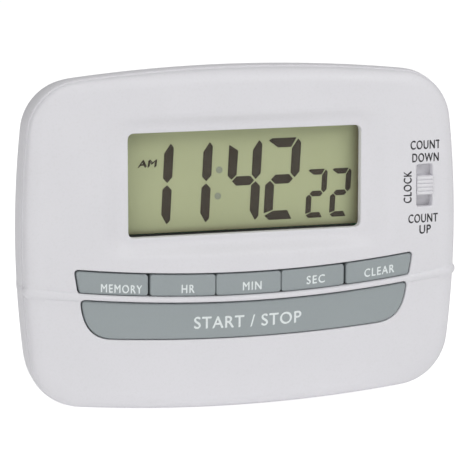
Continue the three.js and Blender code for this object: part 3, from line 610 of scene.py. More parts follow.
def front_shell():
    skin = Skin()
    inner = behind(WALL)
    display = rectangle(**DISPLAY, spacing=0.9)
    start_opening = [(x - KEY_SAG, z + KEY_SAG) for x, z in offset(start_outline(), 0.24)]
    slot = rectangle(
        SLOT_X - SLOT_HALF_WIDTH, SLOT_X + SLOT_HALF_WIDTH,
        SLOT_Z - SLOT_HALF_HEIGHT, SLOT_Z + SLOT_HALF_HEIGHT, 0.6, 0.6,
    )
    openings = [row_opening(), start_opening, slot]

    edge = [front_edge(math.pi / 2 * (1 - i / 12)) for i in range(13)]
    holes = []
    for loop, lip in zip(openings, (0.3, 0.3, 0.25)):
        rings = edge_rings(loop, face, lip, 1, 1)
        skin.bands(*rings, lift(loop, inner))
        holes.append(rings[0])
    rings = edge_rings(display, level(DISPLAY_Y), 0.25, 1, 1)
    skin.bands(*rings, at_depth(display, PAD_Y))
    holes.append(rings[0])
    skin.sheet(edge[0], holes, face, SPACING, bead_rows() + dish_rows())

    skin.bands(
        *edge,
        at_depth(outline(CREASE_INSET), CREASE_Y + 0.02),
        at_depth(outline(CREASE_INSET - 0.06), CREASE_Y + 0.09),
        at_depth(outline(PARTING_INSET + 0.16), FRONT_PARTING_Y - 0.09),
        at_depth(outline(PARTING_INSET + 0.03), FRONT_PARTING_Y - 0.06),
        at_depth(outline(PARTING_INSET + 0.02), FRONT_PARTING_Y),
        at_depth(outline(LIP_OUTER), FRONT_PARTING_Y),
        at_depth(outline(LIP_OUTER), LIP_Y - 0.15),
        at_depth(outline(LIP_OUTER + 0.15), LIP_Y),
        at_depth(outline(LIP_INNER), LIP_Y),
        lift(outline(LIP_OUTER), inner),
    )

    thick = rectangle(-33, 33, -3.4, 27.4, 2, 2)
    skin.bands(lift(thick, inner), at_depth(thick, PAD_Y))
    skin.sheet(at_depth(thick, PAD_Y), [at_depth(display, PAD_Y)], level(PAD_Y))
    islands = [lift(thick, inner)]
    islands += [boss(skin, x, z, 2.8, inner, -13.5, 1.25, -17.4) for x, z in CASE_SCREWS]
    islands += [boss(skin, x, z, 2.0, inner, -14.0, 0.95, -17.0) for x, z in BOARD_SCREWS]
    islands += [lift(loop, inner) for loop in openings]
    skin.sheet(lift(outline(LIP_OUTER), inner), islands, inner, 2 * SPACING)
    return skin


# ---- Rear shell ----

def pocket(skin, loop, floor, radius=0.3, mouth=0.0):
    """A recess in the back, open towards +Y. Returns the ring where it meets the flat back."""
    rings = edge_rings(loop, level(mouth), radius, 1, -1, margin=0.15)
    bottom = at_depth(loop, floor)
    skin.bands(*rings, bottom)
    skin.sheet(bottom)
    return rings[0]


def raised(skin, loop, root, top):
    """A block on the inside of the shell, from root towards the front. Returns its ring at the root."""
    foot, head = at_depth(loop, root), at_depth(loop, top)
    skin.bands(foot, head)
    skin.sheet(head)
    return foot


def screw_column(skin, x, z):
    """A column with a screw bore from the back and a shank hole to its front end."""
    bore, hole, post = circle(x, z, 2.7), circle(x, z, 1.4), circle(x, z, 3.6)
    mouth = edge_rings(bore, level(0), 0.3, 1, -1)
    skin.bands(*mouth, at_depth(bore, -9), at_depth(hole, -9), at_depth(hole, -13.2))
    skin.bands(at_depth(hole, -13.2), at_depth(post, -13.2), at_depth(post, -WALL))
    return mouth[0], at_depth(post, -WALL)


def battery_bay(skin):
    """The door's well, its ledge and the bay under it. Returns the rings on the back and inside."""
    well = rectangle(-26.05, 26.05, 13.35, 28.65, 1.45)
    bay = rectangle(-24.75, 24.75, 14.2, 27.6, 0.5)
    rings = edge_rings(well, level(0), 0.3, 1, -1, margin=0.15)
    ledge = at_depth(well, -1.8)
    lip = edge_rings(bay, level(-1.8), 0.2, 1, -1)
    skin.bands(*rings, ledge)
    skin.sheet(ledge, [lip[0]])
    floor = at_depth(bay, -12.5)
    skin.bands(*lip, floor)
    skin.sheet(floor)
    seat = rectangle(-27.4, 27.4, 12.0, 30.0, 0.5, 3)
    walls = rectangle(-25.85, 25.85, 13.1, 28.7, 0.5, 3)
    foot, head = at_depth(seat, -WALL), at_depth(seat, -3.4)
    skin.bands(foot, head)
    skin.sheet(head, [raised(skin, walls, -3.4, -13.6)])
    return rings[0], foot


def buzzer_seat(skin):
    """The buzzer's ring inside the shell and its sound holes. Returns the rings on the back and inside."""
    mouths, ends = [], []
    for x, z in [(BUZZER_X, BUZZER_Z), *circle(BUZZER_X, BUZZER_Z, 3.4, 6)]:
        hole = circle(x, z, 0.8, 24)
        rings = edge_rings(hole, level(0), 0.2, 1, -1)
        skin.bands(*rings, at_depth(hole, -WALL))
        mouths.append(rings[0])
        ends.append(at_depth(hole, -WALL))
    outer, inner = circle(BUZZER_X, BUZZER_Z, 9, 64), circle(BUZZER_X, BUZZER_Z, 7.7, 64)
    foot = at_depth(outer, -WALL)
    skin.bands(foot, at_depth(outer, -3.4), at_depth(inner, -3.4), at_depth(inner, -WALL))
    skin.sheet(at_depth(inner, -WALL), ends)
    return mouths, foot


def beaded_outline(inset, y):
    """The rear shell's outline at one depth, with the end of the bead fading away towards the back."""
    share = min(max((-y - 6) / 8, 0), 1) * RIM_INSET / BEAD_PROUD
    return outline([inset - share * bead(x, z) for x, z in outline(inset)])


def rear_shell():
    skin = Skin()
    sides = [(4.6, 0), (4.2, -0.07), (3.85, -0.26), (3.55, -0.6), (3.3, -1.1), (3.05, -1.9), (2.75, -3.2)]
    sides += [(2.25, -4.8), (1.6, -6.8), (1.0, -9), (0.5, -12), (0.26, -14.6), (RIM_INSET, -RIM)]
    sides += [(0.26, -16.4), (0.4, REAR_PARTING_Y + 0.08), (0.5, REAR_PARTING_Y)]
    profile = [at_depth(beaded_outline(inset, y), y) for inset, y in sides]
    inside = [(3, REAR_PARTING_Y), (3, -8), (3.4, -6), (3.9, -4), (4.2, -2.8), (4.4, -WALL)]
    skin.bands(*profile, *(at_depth(outline(inset), y) for inset, y in inside))

    back, within = [], []
    for x, z in CASE_SCREWS:
        mouth, foot = screw_column(skin, x, z)
        back.append(mouth)
        within.append(foot)
    mouth, foot = battery_bay(skin)
    back.append(mouth)
    within.append(foot)
    mouths, foot = buzzer_seat(skin)
    back += mouths
    within.append(foot)
    for side in (-1, 1):
        back.append(pocket(skin, circle(side * MAGNET_X, MAGNET_Z, 6.2, 64), -2.3))
        within.append(raised(skin, circle(side * MAGNET_X, MAGNET_Z, 7.3, 64), -WALL, -3.6))
    back.append(pocket(skin, rectangle(-19.4, 19.4, -30.1, -2.6, 1.0), -3.5))
    within.append(raised(skin, rectangle(-20.9, 20.9, -30.9, -1.2, 0.5, 3), -WALL, -4.8))

    skin.sheet(profile[0], back, level(0))
    skin.sheet(at_depth(outline(4.4), -WALL), within, level(-WALL))
    pin_bore = lathe([(0, -20.85), (0.9, -20.85), (0.9, 20.85), (0, 20.85)], HINGE, "X", 32)
    cutters = [pin_bore]
    for side in (-1, 1):
        span = (side * 14 - 3.3, side * 14 + 3.3)
        cutters.append(block(span, (-3.6, -2.0), (11.8, 13.6), 0))
        cutters.append(block(span, (-3.6, -1.7), (13.35, 14.3), 0))
        ends = sorted((side * 23.75, side * 26.85))
        cutters.append(block(ends, (-11.9, -10.1), (19.8, 23.2), 0))
    return carved(skin, cutters)


# ---- Keys and switch ----

def key_skin(loop, flange, plungers):
    """A key: a cap with a rounded top edge, a flange under the case, and plungers."""
    top, step, back = behind(KEY_RECESS), behind(WALL + 0.3), behind(WALL + 1.3)
    skin = Skin()
    rings = edge_rings(loop, top, 0.34, -1, 1, steps=5, margin=0.03)
    last = lift(flange, back)
    skin.sheet(rings[0], height=top, spacing=SPACING)
    skin.bands(*rings, lift(loop, step), lift(flange, step), last)
    feet = []
    for x, z in plungers:
        post = circle(x, z, 1.6, 24)
        end = at_depth(offset(post, -0.2), PLUNGER_Y)
        skin.bands(lift(post, back), at_depth(post, PLUNGER_Y - 0.2), end)
        skin.face(*end)
        feet.append(lift(post, back))
    skin.sheet(last, feet, back)
    return skin


def small_key(i):
    last = len(KEY_NAMES) - 1

    def gap(edge):
        """Half the gap at one of KEY_EDGES: none at the ends, and thin on both sides of the middle key."""
        return 0 if edge in (0, last + 1) else (THIN_GAP if edge in (2, 3) else WIDE_GAP) / 2

    left, right = KEY_EDGES[i] + gap(i), KEY_EDGES[i + 1] - gap(i + 1)
    leans = (ROW_LEAN if i == 0 else 0, ROW_LEAN if i == last else 0)
    loop = band(left, right, ROW_BOTTOM, ROW_TOP, *leans, 0.7)
    middle = (left + right) / 2

    def spread(x, z):
        above = z > arc(ROW_MIDDLE, x)
        if i == 0 and x < left + 1.6:
            x -= 1.1
        if i == last and x > right - 1.6:
            x += 1.1
        return x, z + (1.0 if above else -0.55)

    return key_skin(loop, [spread(x, z) for x, z in loop], [(middle, arc(ROW_MIDDLE, middle))])


def start_key():
    loop = start_outline()
    return key_skin(loop, offset(loop, 0.75), START_PLUNGERS)


def switch_knob():
    """A cap with rounded ribs across it, on a plate that keeps dust out of the slot."""
    front = crown(SLOT_X, SLOT_Z) - KNOB_PROUD
    foot, pitch = KNOB_PLATE_FRONT + 0.1, 2 * KNOB_HALF_HEIGHT / KNOB_RIBS
    profile = [(foot, SLOT_Z - KNOB_HALF_HEIGHT)]
    for i in range(KNOB_RIBS):
        middle = SLOT_Z - KNOB_HALF_HEIGHT + (i + 0.5) * pitch
        for step in range(9):
            turn = math.pi * step / 8
            profile.append((front + 0.34 * (1 - math.sin(turn)), middle - 0.37 * math.cos(turn)))
    profile.append((foot, SLOT_Z + KNOB_HALF_HEIGHT))
    heart_y = (front - 17.4) / 2  # the ends shrink towards this height

    def slice_at(side, inset, shrink):
        x = SLOT_X + side * (KNOB_HALF_WIDTH - inset)
        return [(x, y + shrink * (heart_y - y), z + shrink * (SLOT_Z - z)) for y, z in profile]

    skin = Skin()
    ends = ((0, 0.09), (0.05, 0.03), (0.16, 0))
    rings = [slice_at(-1, *end) for end in ends] + [slice_at(1, *end) for end in reversed(ends)]
    skin.bands(*rings)
    skin.face(*rings[0])
    skin.face(*rings[-1])
    spans = (SLOT_X - 3, SLOT_X + 3), (KNOB_PLATE_FRONT, KNOB_PLATE_BACK), (SLOT_Z - 7.2, SLOT_Z + 7.2)
    return carved(skin, [block(*spans)], "UNION")


# ---- Display ----

def display_window():
    """A clear plug that fills the opening from behind, with a flange round it."""
    plug = offset(rectangle(**DISPLAY, spacing=2), -0.2)
    flange = offset(plug, 1.6)
    near = edge_rings(plug, level(-19.3), 0.15, -1, 1)
    far = edge_rings(flange, level(-16.9), 0.1, -1, -1)
    skin = Skin()
    skin.sheet(near[0])
    skin.bands(*near, at_depth(plug, -17.6), at_depth(flange, -17.6), *reversed(far))
    skin.sheet(far[0])
    return skin


def plate(loop, holes, front, back, radius=0.06):
    """A flat closed plate with through holes and slightly round outer edges."""
    near = edge_rings(loop, level(front), radius, -1, 1, 2, 0.02)
    far = edge_rings(loop, level(back), radius, -1, -1, 2, 0.02)
    skin = Skin()
    skin.sheet(near[0], [at_depth(hole, front) for hole in holes])
    skin.bands(*near, *reversed(far))
    for hole in holes:
        skin.bands(at_depth(hole, front), at_depth(hole, back))
    skin.sheet(far[0], [at_depth(hole, back) for hole in holes])
    return skin


def segments(width, height, stroke):
    """The seven bars of one digit, each a polygon, in a frame whose corner is the digit's lower left."""
    w, h, s, mid = width, height, stroke, height / 2
    return {
        "a": [
            (0.13 * s, h - 0.24 * s), (1.19 * s, h - s), (w - 1.1 * s, h - s),
            (w - 0.54 * s, h), (0.49 * s, h),
        ],
        "b": [
            (w - s, mid + 0.6 * s), (w - 0.52 * s, mid + 0.09 * s), (w, mid + 0.7 * s),
            (w, h - 0.56 * s), (w - 0.35 * s, h - 0.12 * s), (w - s, h - 1.15 * s),
        ],
        "c": [
            (w - s, 1.12 * s), (w - 0.37 * s, 0.07 * s), (w, 0.5 * s),
            (w, mid - 0.68 * s), (w - 0.52 * s, mid - 0.13 * s), (w - s, mid - 0.56 * s),
        ],
        "d": [
            (0.09 * s, 0.47 * s), (0.62 * s, 0), (w - 0.6 * s, 0),
            (w - 1.14 * s, 0.97 * s), (1.04 * s, 0.97 * s),
        ],
        "e": [
            (0, 0.74 * s), (s, 1.06 * s), (s, mid - 0.64 * s),
            (0.52 * s, mid - 0.17 * s), (0, mid - 0.6 * s),
        ],
        "f": [
            (0.1 * s, mid + 0.57 * s), (0.55 * s, mid + 0.13 * s), (1.08 * s, mid + 0.64 * s),
            (1.12 * s, h - 1.15 * s), (0.1 * s, h - 0.5 * s),
        ],
        "g": [
            (0.6 * s, mid - 0.04 * s), (1.1 * s, mid - 0.52 * s), (w - 1.13 * s, mid - 0.52 * s),
            (w - 0.7 * s, mid - 0.04 * s), (w - 1.13 * s, mid + 0.46 * s), (1.09 * s, mid + 0.46 * s),
        ],
    }


LIT = {"1": "bc", "2": "abged", "4": "fgbc"}
LARGE_DIGIT = dict(width=7.4, height=17.2, stroke=1.97)
SMALL_DIGIT = dict(width=4.44, height=10.3, stroke=1.18)
DIGITS = [
    ("1", -22.27, LARGE_DIGIT), ("1", -13.86, LARGE_DIGIT), ("4", -3.1, LARGE_DIGIT),
    ("2", 5.43, LARGE_DIGIT), ("2", 14.65, SMALL_DIGIT), ("2", 19.97, SMALL_DIGIT),
]
DIGIT_BASE, DIGIT_LEAN, LEAN_Z = 3.0, 0.0565, 11.6
FILM_FRONT, FILM_BACK = -15.87, -15.83  # between the two sheets of glass


def prism(loop, front=FILM_FRONT, back=FILM_BACK):
    skin = Skin()
    near, far = at_depth(loop, front), at_depth(loop, back)
    skin.face(*near)
    skin.bands(near, far)
    skin.face(*far)
    return skin


def digits():
    """The lit bars of every digit."""
    skins = []
    for figure, left, size in DIGITS:
        shapes = segments(**size)
        for bar in LIT[figure]:
            upright = [(left + x, DIGIT_BASE + z) for x, z in shapes[bar]]
            leaning = [(x + DIGIT_LEAN * (z - LEAN_Z), z) for x, z in upright]
            skins.append(prism(rounded(leaning, 0.12, 3)))
    return joined(*skins)


# ---- Inside ----

def keypad_mat():
    """A rubber web with a hollow-looking dome under each plunger."""
    middles = [(a + b) / 2 for a, b in zip(KEY_EDGES, KEY_EDGES[1:])]
    places = [(x, arc(ROW_MIDDLE, x)) for x in middles] + START_PLUNGERS
    loop = rectangle(-37.4, 37.4, -22, -3.4, 3, 2)
    skin = Skin()
    near = edge_rings(loop, level(-14.9), 0.2, -1, 1, 2)
    far = edge_rings(loop, level(-13.9), 0.2, -1, -1, 2)
    feet = []
    for x, z in places:
        slope = [(2.8, -14.9), (2.62, -15.02), (2.2, -15.7), (2.05, -15.93), (1.85, -16)]
        rings = [at_depth(circle(x, z, r, 32), y) for r, y in slope]
        skin.bands(*rings)
        skin.face(*rings[-1])
        feet.append(rings[0])
    skin.sheet(near[0], feet)
    skin.bands(*near, *reversed(far))
    skin.sheet(far[0])
    return skin


def circuit_board():
    corners = [(-42.4, -21.6), (42.4, -21.6), (42.4, 18.5), (34.2, 18.5), (34.2, 2.6), (-42.4, 2.6)]
    loop = dense(rounded(corners, 1.5), 2)
    return plate(loop, [circle(x, z, 1.1) for x, z in BOARD_SCREWS], BOARD_FRONT, BOARD_BACK, 0.08)


def screw(x, z, seat, head, head_height, shank, length):
    """A pan-head screw along Y with a crossed recess; its head faces the back."""
    pitch, tip = 0.62, 1.2
    profile = [(0, -length), (0.35 * shank, -length + 0.1)]
    along = -length + tip
    profile.append((0.8 * shank, along))
    while along + pitch < -0.3:
        profile += [(shank, along + pitch * 0.35), (shank, along + pitch * 0.5)]
        along += pitch
        profile.append((0.8 * shank, along))
    profile += [(0.8 * shank, 0), (head - 0.08, 0), (head, 0.08), (head, head_height * 0.45)]
    profile += [
        (head * math.cos(turn), head_height * (0.45 + 0.55 * math.sin(turn)))
        for turn in (math.pi / 2 * i / 6 for i in range(1, 6))
    ]
    profile.append((0, head_height))
    body = lathe(profile, (x, seat, z), "Y", 40)
    reach, depth = head * 0.6, (seat + head_height * 0.4, seat + head_height + 1)
    across = block((x - reach, x + reach), depth, (z - 0.24, z + 0.24), 0)
    upright = block((x - 0.24, x + 0.24), depth, (z - reach, z + reach), 0)
    return carved(body, [across, upright])


def chip_cover():
    """A blob of epoxy over the chip: a low dome with a square edge."""
    turns = [math.pi / 2 * i / 10 for i in range(10)]
    dome = [(6 * math.cos(t), 0.2 + 1.28 * math.sin(t)) for t in turns]
    return lathe([(0, 0), (6, 0), *dome, (0, 1.48)], (-12, -12.5, -11))


def disc(x, z, radius, front, back, edge=0.05):
    profile = [
        (0, front), (radius - edge, front), (radius, front + edge),
        (radius, back - edge), (radius - edge, back), (0, back),
    ]
    return lathe(profile, (x, 0, z), "Y", 64)


def battery_cell():
    profile = [
        (0, -21.3), (4.2, -21.3), (4.35, -21.2), (4.6, -21.2), (4.7, -21.3), (4.95, -21.2), (5.15, -20.95),
        (5.2, -20.6), (5.2, 21.6), (5.1, 21.95), (4.85, 22.15), (4.6, 22.2), (4.5, 22.05), (2.4, 22.05),
        (1.95, 22.2), (1.9, 22.4), (1.9, 23.0), (1.75, 23.2), (0, 23.2),
    ]
    return lathe(profile, (0, BATTERY_Y, BATTERY_Z), "X", 64)


def contact_plate(side):
    """A flat contact at one end of the bay, with a tab through the bay's end wall."""
    panel = block(sorted((side * 24, side * 24.5)), (-11.3, -2.6), (17.3, 25.7), 0.12)
    tab = block(sorted((side * 24.1, side * 27.2)), (-11.3, -10.8), (20.5, 22.5), 0.08)
    return carved(panel, [tab], "UNION")


def contact_spring():
    turns, steps = 3, 150
    path = []
    for i in range(steps + 1):
        t = i / steps
        angle, radius = 2 * math.pi * turns * t, 3.8 - 1.8 * t
        y, z = BATTERY_Y + radius * math.cos(angle), BATTERY_Z + radius * math.sin(angle)
        path.append((-24.1 + 2.2 * t, y, z))
    return joined(contact_plate(-1), tube(path, 0.28))


BATTERY_LEAD = [(27.9, -11, 21.5), (29.6, -11, 15), (29.4, -10.6, 8), (28, -11.85, 1.6)]
LEADS = {
    "battery_lead_red": (0.5, *BATTERY_LEAD),
    "battery_lead_black": (0.5, *((-x, y, z) for x, y, z in BATTERY_LEAD)),
    "buzzer_lead_red": (0.45, (31, -5.1, 4.5), (26, -6.5, 4), (22, -9, 1), (20, -11.85, -3)),
    "buzzer_lead_black": (0.45, (31, -5.1, -3.6), (27, -6.5, -4.5), (23, -9, -6.5), (20, -11.85, -9)),
}


# ---- Back ----

def battery_door():
    """A door with a springy latch tab between two slits, two tongues and shallow grip grooves."""
    corners, radii = [], []
    for x, z, radius in (
        (-25.8, 13.6, 1.2), (25.8, 13.6, 1.2), (25.8, 28.4, 1.2), (5.6, 28.4, 0.3), (5.6, 22.4, 0.29),
        (5.0, 22.4, 0.29), (5.0, 28.4, 0.3), (-5.0, 28.4, 0.3), (-5.0, 22.4, 0.29), (-5.6, 22.4, 0.29),
        (-5.6, 28.4, 0.3), (-25.8, 28.4, 1.2),
    ):
        corners.append((x, z))
        radii.append(radius)
    loop = dense(rounded(corners, radii), 1.5)
    skin = pad(loop, level(-1.5), level(0), 0.15)
    bump = lathe([(0, -4), (0.2, -3.8), (0.2, 3.8), (0, 4)], (0, -1.1, 28.4), "X", 20)
    tools = [bump]
    for side in (-1, 1):
        span = (side * 14 - 3, side * 14 + 3)
        tools.append(block(span, (-3.2, -1.3), (14.4, 15.0), 0.05))
        tools.append(block(span, (-3.2, -2.3), (12.4, 14.6), 0.15))
    skin = carved(skin, tools, "UNION")
    groove = [(0, -3.8), (0.42, -3.5), (0.42, 3.5), (0, 3.8)]
    return carved(skin, [lathe(groove, (0, 0.1, z), "X", 24) for z in (23.6, 25.2, 26.8)])


def fold_out_stand():
    turns = [math.pi * i / 20 for i in range(1, 20)]
    notch = [(-5 * math.cos(t), -29.6 + 5 * math.sin(t)) for t in turns]
    corners = [(-19, -29.6), (-5, -29.6), *notch, (5, -29.6), (19, -29.6), (19, HINGE[2]), (-19, HINGE[2])]
    radii = [2, 0.5, *[0] * len(notch), 0.5, 2, 0.4, 0.4]
    skin = pad(dense(rounded(corners, radii), 1.5), level(-2.0), level(-0.2), 0.2)
    profile = [(0, -19), (1.35, -19), (1.5, -18.85), (1.5, 18.85), (1.35, 19), (0, 19)]
    skin = carved(skin, [lathe(profile, HINGE, "X")], "UNION")
    return carved(skin, [lathe([(0, -20), (0.9, -20), (0.9, 20), (0, 20)], HINGE, "X", 32)])


def stand_pin():
    profile = [(0, -20.8), (0.65, -20.8), (0.8, -20.65), (0.8, 20.65), (0.65, 20.8), (0, 20.8)]
    return lathe(profile, HINGE, "X", 32)


# ---- Printed words ----

def drawn_words(words, spacing, slant):
    """The corners, in font units, and the faces of some extruded words."""
    curve = bpy.data.curves.new("words", "FONT")
    curve.body = words
    curve.extrude = 1
    curve.shear = slant
    curve.space_character = spacing
    curve.resolution_u = 5
    source = bpy.data.objects.new("words", curve)
    bpy.context.scene.collection.objects.link(source)
    bpy.context.view_layer.update()
    drawn = bpy.data.meshes.new_from_object(source.evaluated_get(bpy.context.evaluated_depsgraph_get()))
    spots = np.array([v.co for v in drawn.vertices])
    faces = [tuple(polygon.vertices) for polygon in drawn.polygons]
    bpy.data.objects.remove(source)
    bpy.data.curves.remove(curve)
    bpy.data.meshes.remove(drawn)
    return spots, faces


def lettering(
    words, middle, size, surface,
    turned=False, follows=False, bold=0.0, spacing=1.1, slant=0.0, depth=(-0.02, 0.06),
):
    """Thin closed letters on a surface. middle and size are (x, z) and (width, height) in millimetres.

    turned reads upwards, follows keeps to the keys' arc, and bold thickens the strokes.
    """
    spots, faces = drawn_words(words, spacing, slant)
    low, high = spots.min(axis=0), spots.max(axis=0)
    share = (spots - low) / (high - low) - 0.5
    across, up = share[:, 0] * (size[0] - bold), share[:, 1] * (size[1] - bold)
    levels = np.where(spots[:, 2] > 0, *depth)
    copies = []
    for shift in (-bold / 2, bold / 2) if bold else (0,):
        sink = 0.003 if shift > 0 else 0  # keeps the two copies' faces apart
        corners = list(zip(across + shift, levels + sink, up + shift))
        skin = Skin()
        for face_corners in faces:
            skin.face(*(corners[v] for v in face_corners))
        copies.append(skin)
    made = carved(copies[0], copies[1:], "UNION") if bold else copies[0]

    def place(across, level, up):
        x = middle[0] + (-up if turned else across)
        z = middle[1] + (across if turned else up)
        if follows:
            z += arc(0, x) - arc(0, middle[0])
        return x, surface(x, z) + level, z

    made.points = [place(*point) for point in made.points]
    return made


# ---- Materials ----

def shade(red, green, blue, alpha=1.0):
    """A linear colour from the 0 to 255 values of a screen."""
    linear = [((c / 255 + 0.055) / 1.055) ** 2.4 if c > 10 else c / 255 / 12.92 for c in (red, green, blue)]
    return (*linear, alpha)


def scaled(colour, factor):
    return (*(min(c * factor, 1) for c in colour[:3]), colour[3])


class Shader:
    """A material with a Principled surface and short calls for its pattern nodes."""

    def __init__(self, name, **values):
        self.material = bpy.data.materials.new(name)
        self.material.use_nodes = True
        self.tree = self.material.node_tree
        self.surface = self.tree.nodes["Principled BSDF"]
        for socket, value in values.items():
            self.surface.inputs[socket.replace("_", " ")].default_value = value
        self.place = self.node("ShaderNodeTexCoord").outputs["Object"]

    def node(self, kind, inputs=None, **settings):
        made = self.tree.nodes.new(kind)
        for key, value in settings.items():
            setattr(made, key, value)
        self.fill(made, inputs or {})
        return made

    def fill(self, node, inputs):
        """Sets each input of a node to a value, or links it to a socket."""
        for key, value in inputs.items():
            if isinstance(value, bpy.types.NodeSocket):
                self.tree.links.new(value, node.inputs[key])
            else:
                node.inputs[key].default_value = value

    def link(self, source, socket):
        self.tree.links.new(source, self.surface.inputs[socket])

    def noise(self, size, detail=3.0, stretch=(1, 1, 1)):
        """Soft noise whose patches are about size millimetres across."""
        spread = self.node("ShaderNodeMapping", {"Vector": self.place, "Scale": stretch}).outputs["Vector"]
        inputs = {"Vector": spread, "Scale": 1 / (size * MM), "Detail": detail}
        return self.node("ShaderNodeTexNoise", inputs).outputs["Fac"]

    def ramp(self, source, *stops):
        """A colour ramp. Each stop is (position, colour)."""
        made = self.node("ShaderNodeValToRGB", {"Fac": source})
        elements = made.color_ramp.elements
        while len(elements) < len(stops):
            elements.new(0.5)
        for element, (position, colour) in zip(elements, stops):
            element.position = position
            element.color = colour
        return made.outputs["Color"]

    def between(self, source, low, high, start=0.3, end=0.7):
        """source mapped from start and end onto low and high."""
        inputs = {"Value": source, "From Min": start, "From Max": end, "To Min": low, "To Max": high}
        return self.node("ShaderNodeMapRange", inputs).outputs["Result"]

    def math(self, operation, first, second=0.0):
        return self.node("ShaderNodeMath", {0: first, 1: second}, operation=operation).outputs["Value"]

    def mixed(self, factor, first, second, blend="MIX"):
        """Two colours mixed. A node's sockets 6 and 7 are the colours' own."""
        inputs = {0: factor, 6: first, 7: second}
        made = self.node("ShaderNodeMix", data_type="RGBA", blend_type=blend)
        self.fill(made, inputs)
        return made.outputs[2]

    def axis(self, name):
        """The place along one axis, in millimetres."""
        apart = self.node("ShaderNodeSeparateXYZ", {"Vector": self.place})
        return self.math("MULTIPLY", apart.outputs[name], 1 / MM)

    def bump(self, height, depth, strength=1.0):
        """Raises the surface by height times depth millimetres."""
        inputs = {"Height": height, "Distance": depth * MM, "Strength": strength}
        self.link(self.node("ShaderNodeBump", inputs).outputs["Normal"], "Normal")


def plastic(name, colour, roughness=0.42, grain=0.25, depth=0.012, mottle=0.02, **values):
    """Moulded plastic: an even colour with faint clouds, a fine spark-eroded grain and uneven polish."""
    made = Shader(name, **values)
    clouds = made.noise(22, 4)
    tone = made.ramp(clouds, (0.3, scaled(colour, 1 - mottle)), (0.7, scaled(colour, 1 + mottle * 0.5)))
    specks = made.noise(0.5, 2)
    fine = made.ramp(specks, (0.25, (0.975, 0.975, 0.97, 1)), (0.5, (1, 1, 1, 1)))
    made.link(made.mixed(1, tone, fine, "MULTIPLY"), "Base Color")
    made.link(made.between(made.noise(9, 5), roughness - 0.05, roughness + 0.05), "Roughness")
    made.bump(made.noise(grain, 3), depth)
    return made.material


def metal(name, colour, roughness=0.3, stretch=(1, 1, 1), **values):
    """Plated metal with fine drawn lines, a little tarnish and smudges."""
    made = Shader(name, Metallic=1.0, **values)
    tarnish = made.noise(3, 5)
    made.link(made.ramp(tarnish, (0.3, scaled(colour, 0.82)), (0.65, colour)), "Base Color")
    lines = made.noise(0.3, 4, stretch)
    made.link(made.between(lines, roughness - 0.08, roughness + 0.1), "Roughness")
    made.bump(lines, 0.006)
    return made.material


def clear_plastic():
    """Clear acrylic: what lies behind shows through, with a soft gloss and the faintest hairlines."""
    made = Shader("clear_window", Roughness=0.12, Base_Color=shade(236, 240, 232), IOR=1.49)
    hairlines = made.noise(1.2, 6, (1, 1, 14))
    made.link(made.between(hairlines, 0.05, 0.16), "Roughness")
    made.link(made.between(made.noise(8, 4), 0.008, 0.016), "Alpha")
    made.bump(made.noise(14, 2), 0.01)
    return made.material


def display_glass():
    """Thin glass with a polarising film: a faint grey-green veil with film speckle."""
    made = Shader("lcd_glass", Roughness=0.2, IOR=1.5)
    film = made.noise(0.4, 2)
    made.link(made.ramp(film, (0.3, shade(150, 158, 128)), (0.7, shade(158, 166, 136))), "Base Color")
    made.link(made.between(made.noise(6, 3), 0.006, 0.012), "Alpha")
    made.link(made.between(film, 0.16, 0.26), "Roughness")
    made.bump(film, 0.004)
    return made.material


def reflector_film():
    """Olive reflective film, with painted shade: warmer and darker towards its right and bottom edges,
    where the rim of the opening shades it.
    """
    made = Shader("lcd_reflector", Roughness=0.5)
    grain = made.noise(0.22, 2)
    clouds = made.noise(16, 3)
    olive = made.ramp(clouds, (0.3, shade(*FILM_OLIVE)), (0.7, scaled(shade(*FILM_OLIVE), 1.04)))
    speckled = made.mixed(made.between(grain, 0.0, 0.06), olive, shade(120, 124, 92))
    # painted shade: the film turns brown towards its right and bottom edges, where the opening's rim shades
    # it
    right = made.between(made.axis("X"), 0, 1, 23.6, 26.4)
    bottom = made.between(made.axis("Z"), 1, 0, 0.8, 2.9)
    edge = made.math("MAXIMUM", right, bottom)
    made.link(made.mixed(made.math("POWER", edge, 1.6), speckled, shade(*FILM_SHADE_BROWN)), "Base Color")
    made.bump(grain, 0.008)
    return made.material


def ink(name, colour, roughness=0.5, wear=0.12, lighter=1.0):
    """A printed film with slightly uneven cover."""
    made = Shader(name)
    cover = made.noise(0.35, 4)
    made.link(
        made.ramp(cover, (0.28, scaled(colour, 1 - wear)), (0.5, colour), (0.75, scaled(colour, lighter))),
        "Base Color",
    )
    made.link(made.between(made.noise(1.5, 3), roughness - 0.06, roughness + 0.06), "Roughness")
    made.bump(cover, 0.004)
    return made.material


def rubber(name, colour, layers=0.0):
    """Silicone with a dry, dusty surface. layers is the pitch of any conductive layers along X."""
    made = Shader(name)
    dust = made.noise(2.5, 5)
    tone = made.ramp(dust, (0.3, colour), (0.72, scaled(colour, 1.25)))
    if layers:
        stripes = made.math("SINE", made.math("MULTIPLY", made.axis("X"), 2 * math.pi / layers))
        tone = made.mixed(made.between(stripes, 0, 0.7, -0.2, 0.2), tone, scaled(colour, 0.35))
    made.link(tone, "Base Color")
    made.link(made.between(dust, 0.6, 0.8), "Roughness")
    made.bump(made.noise(0.3, 3), 0.015)
    return made.material


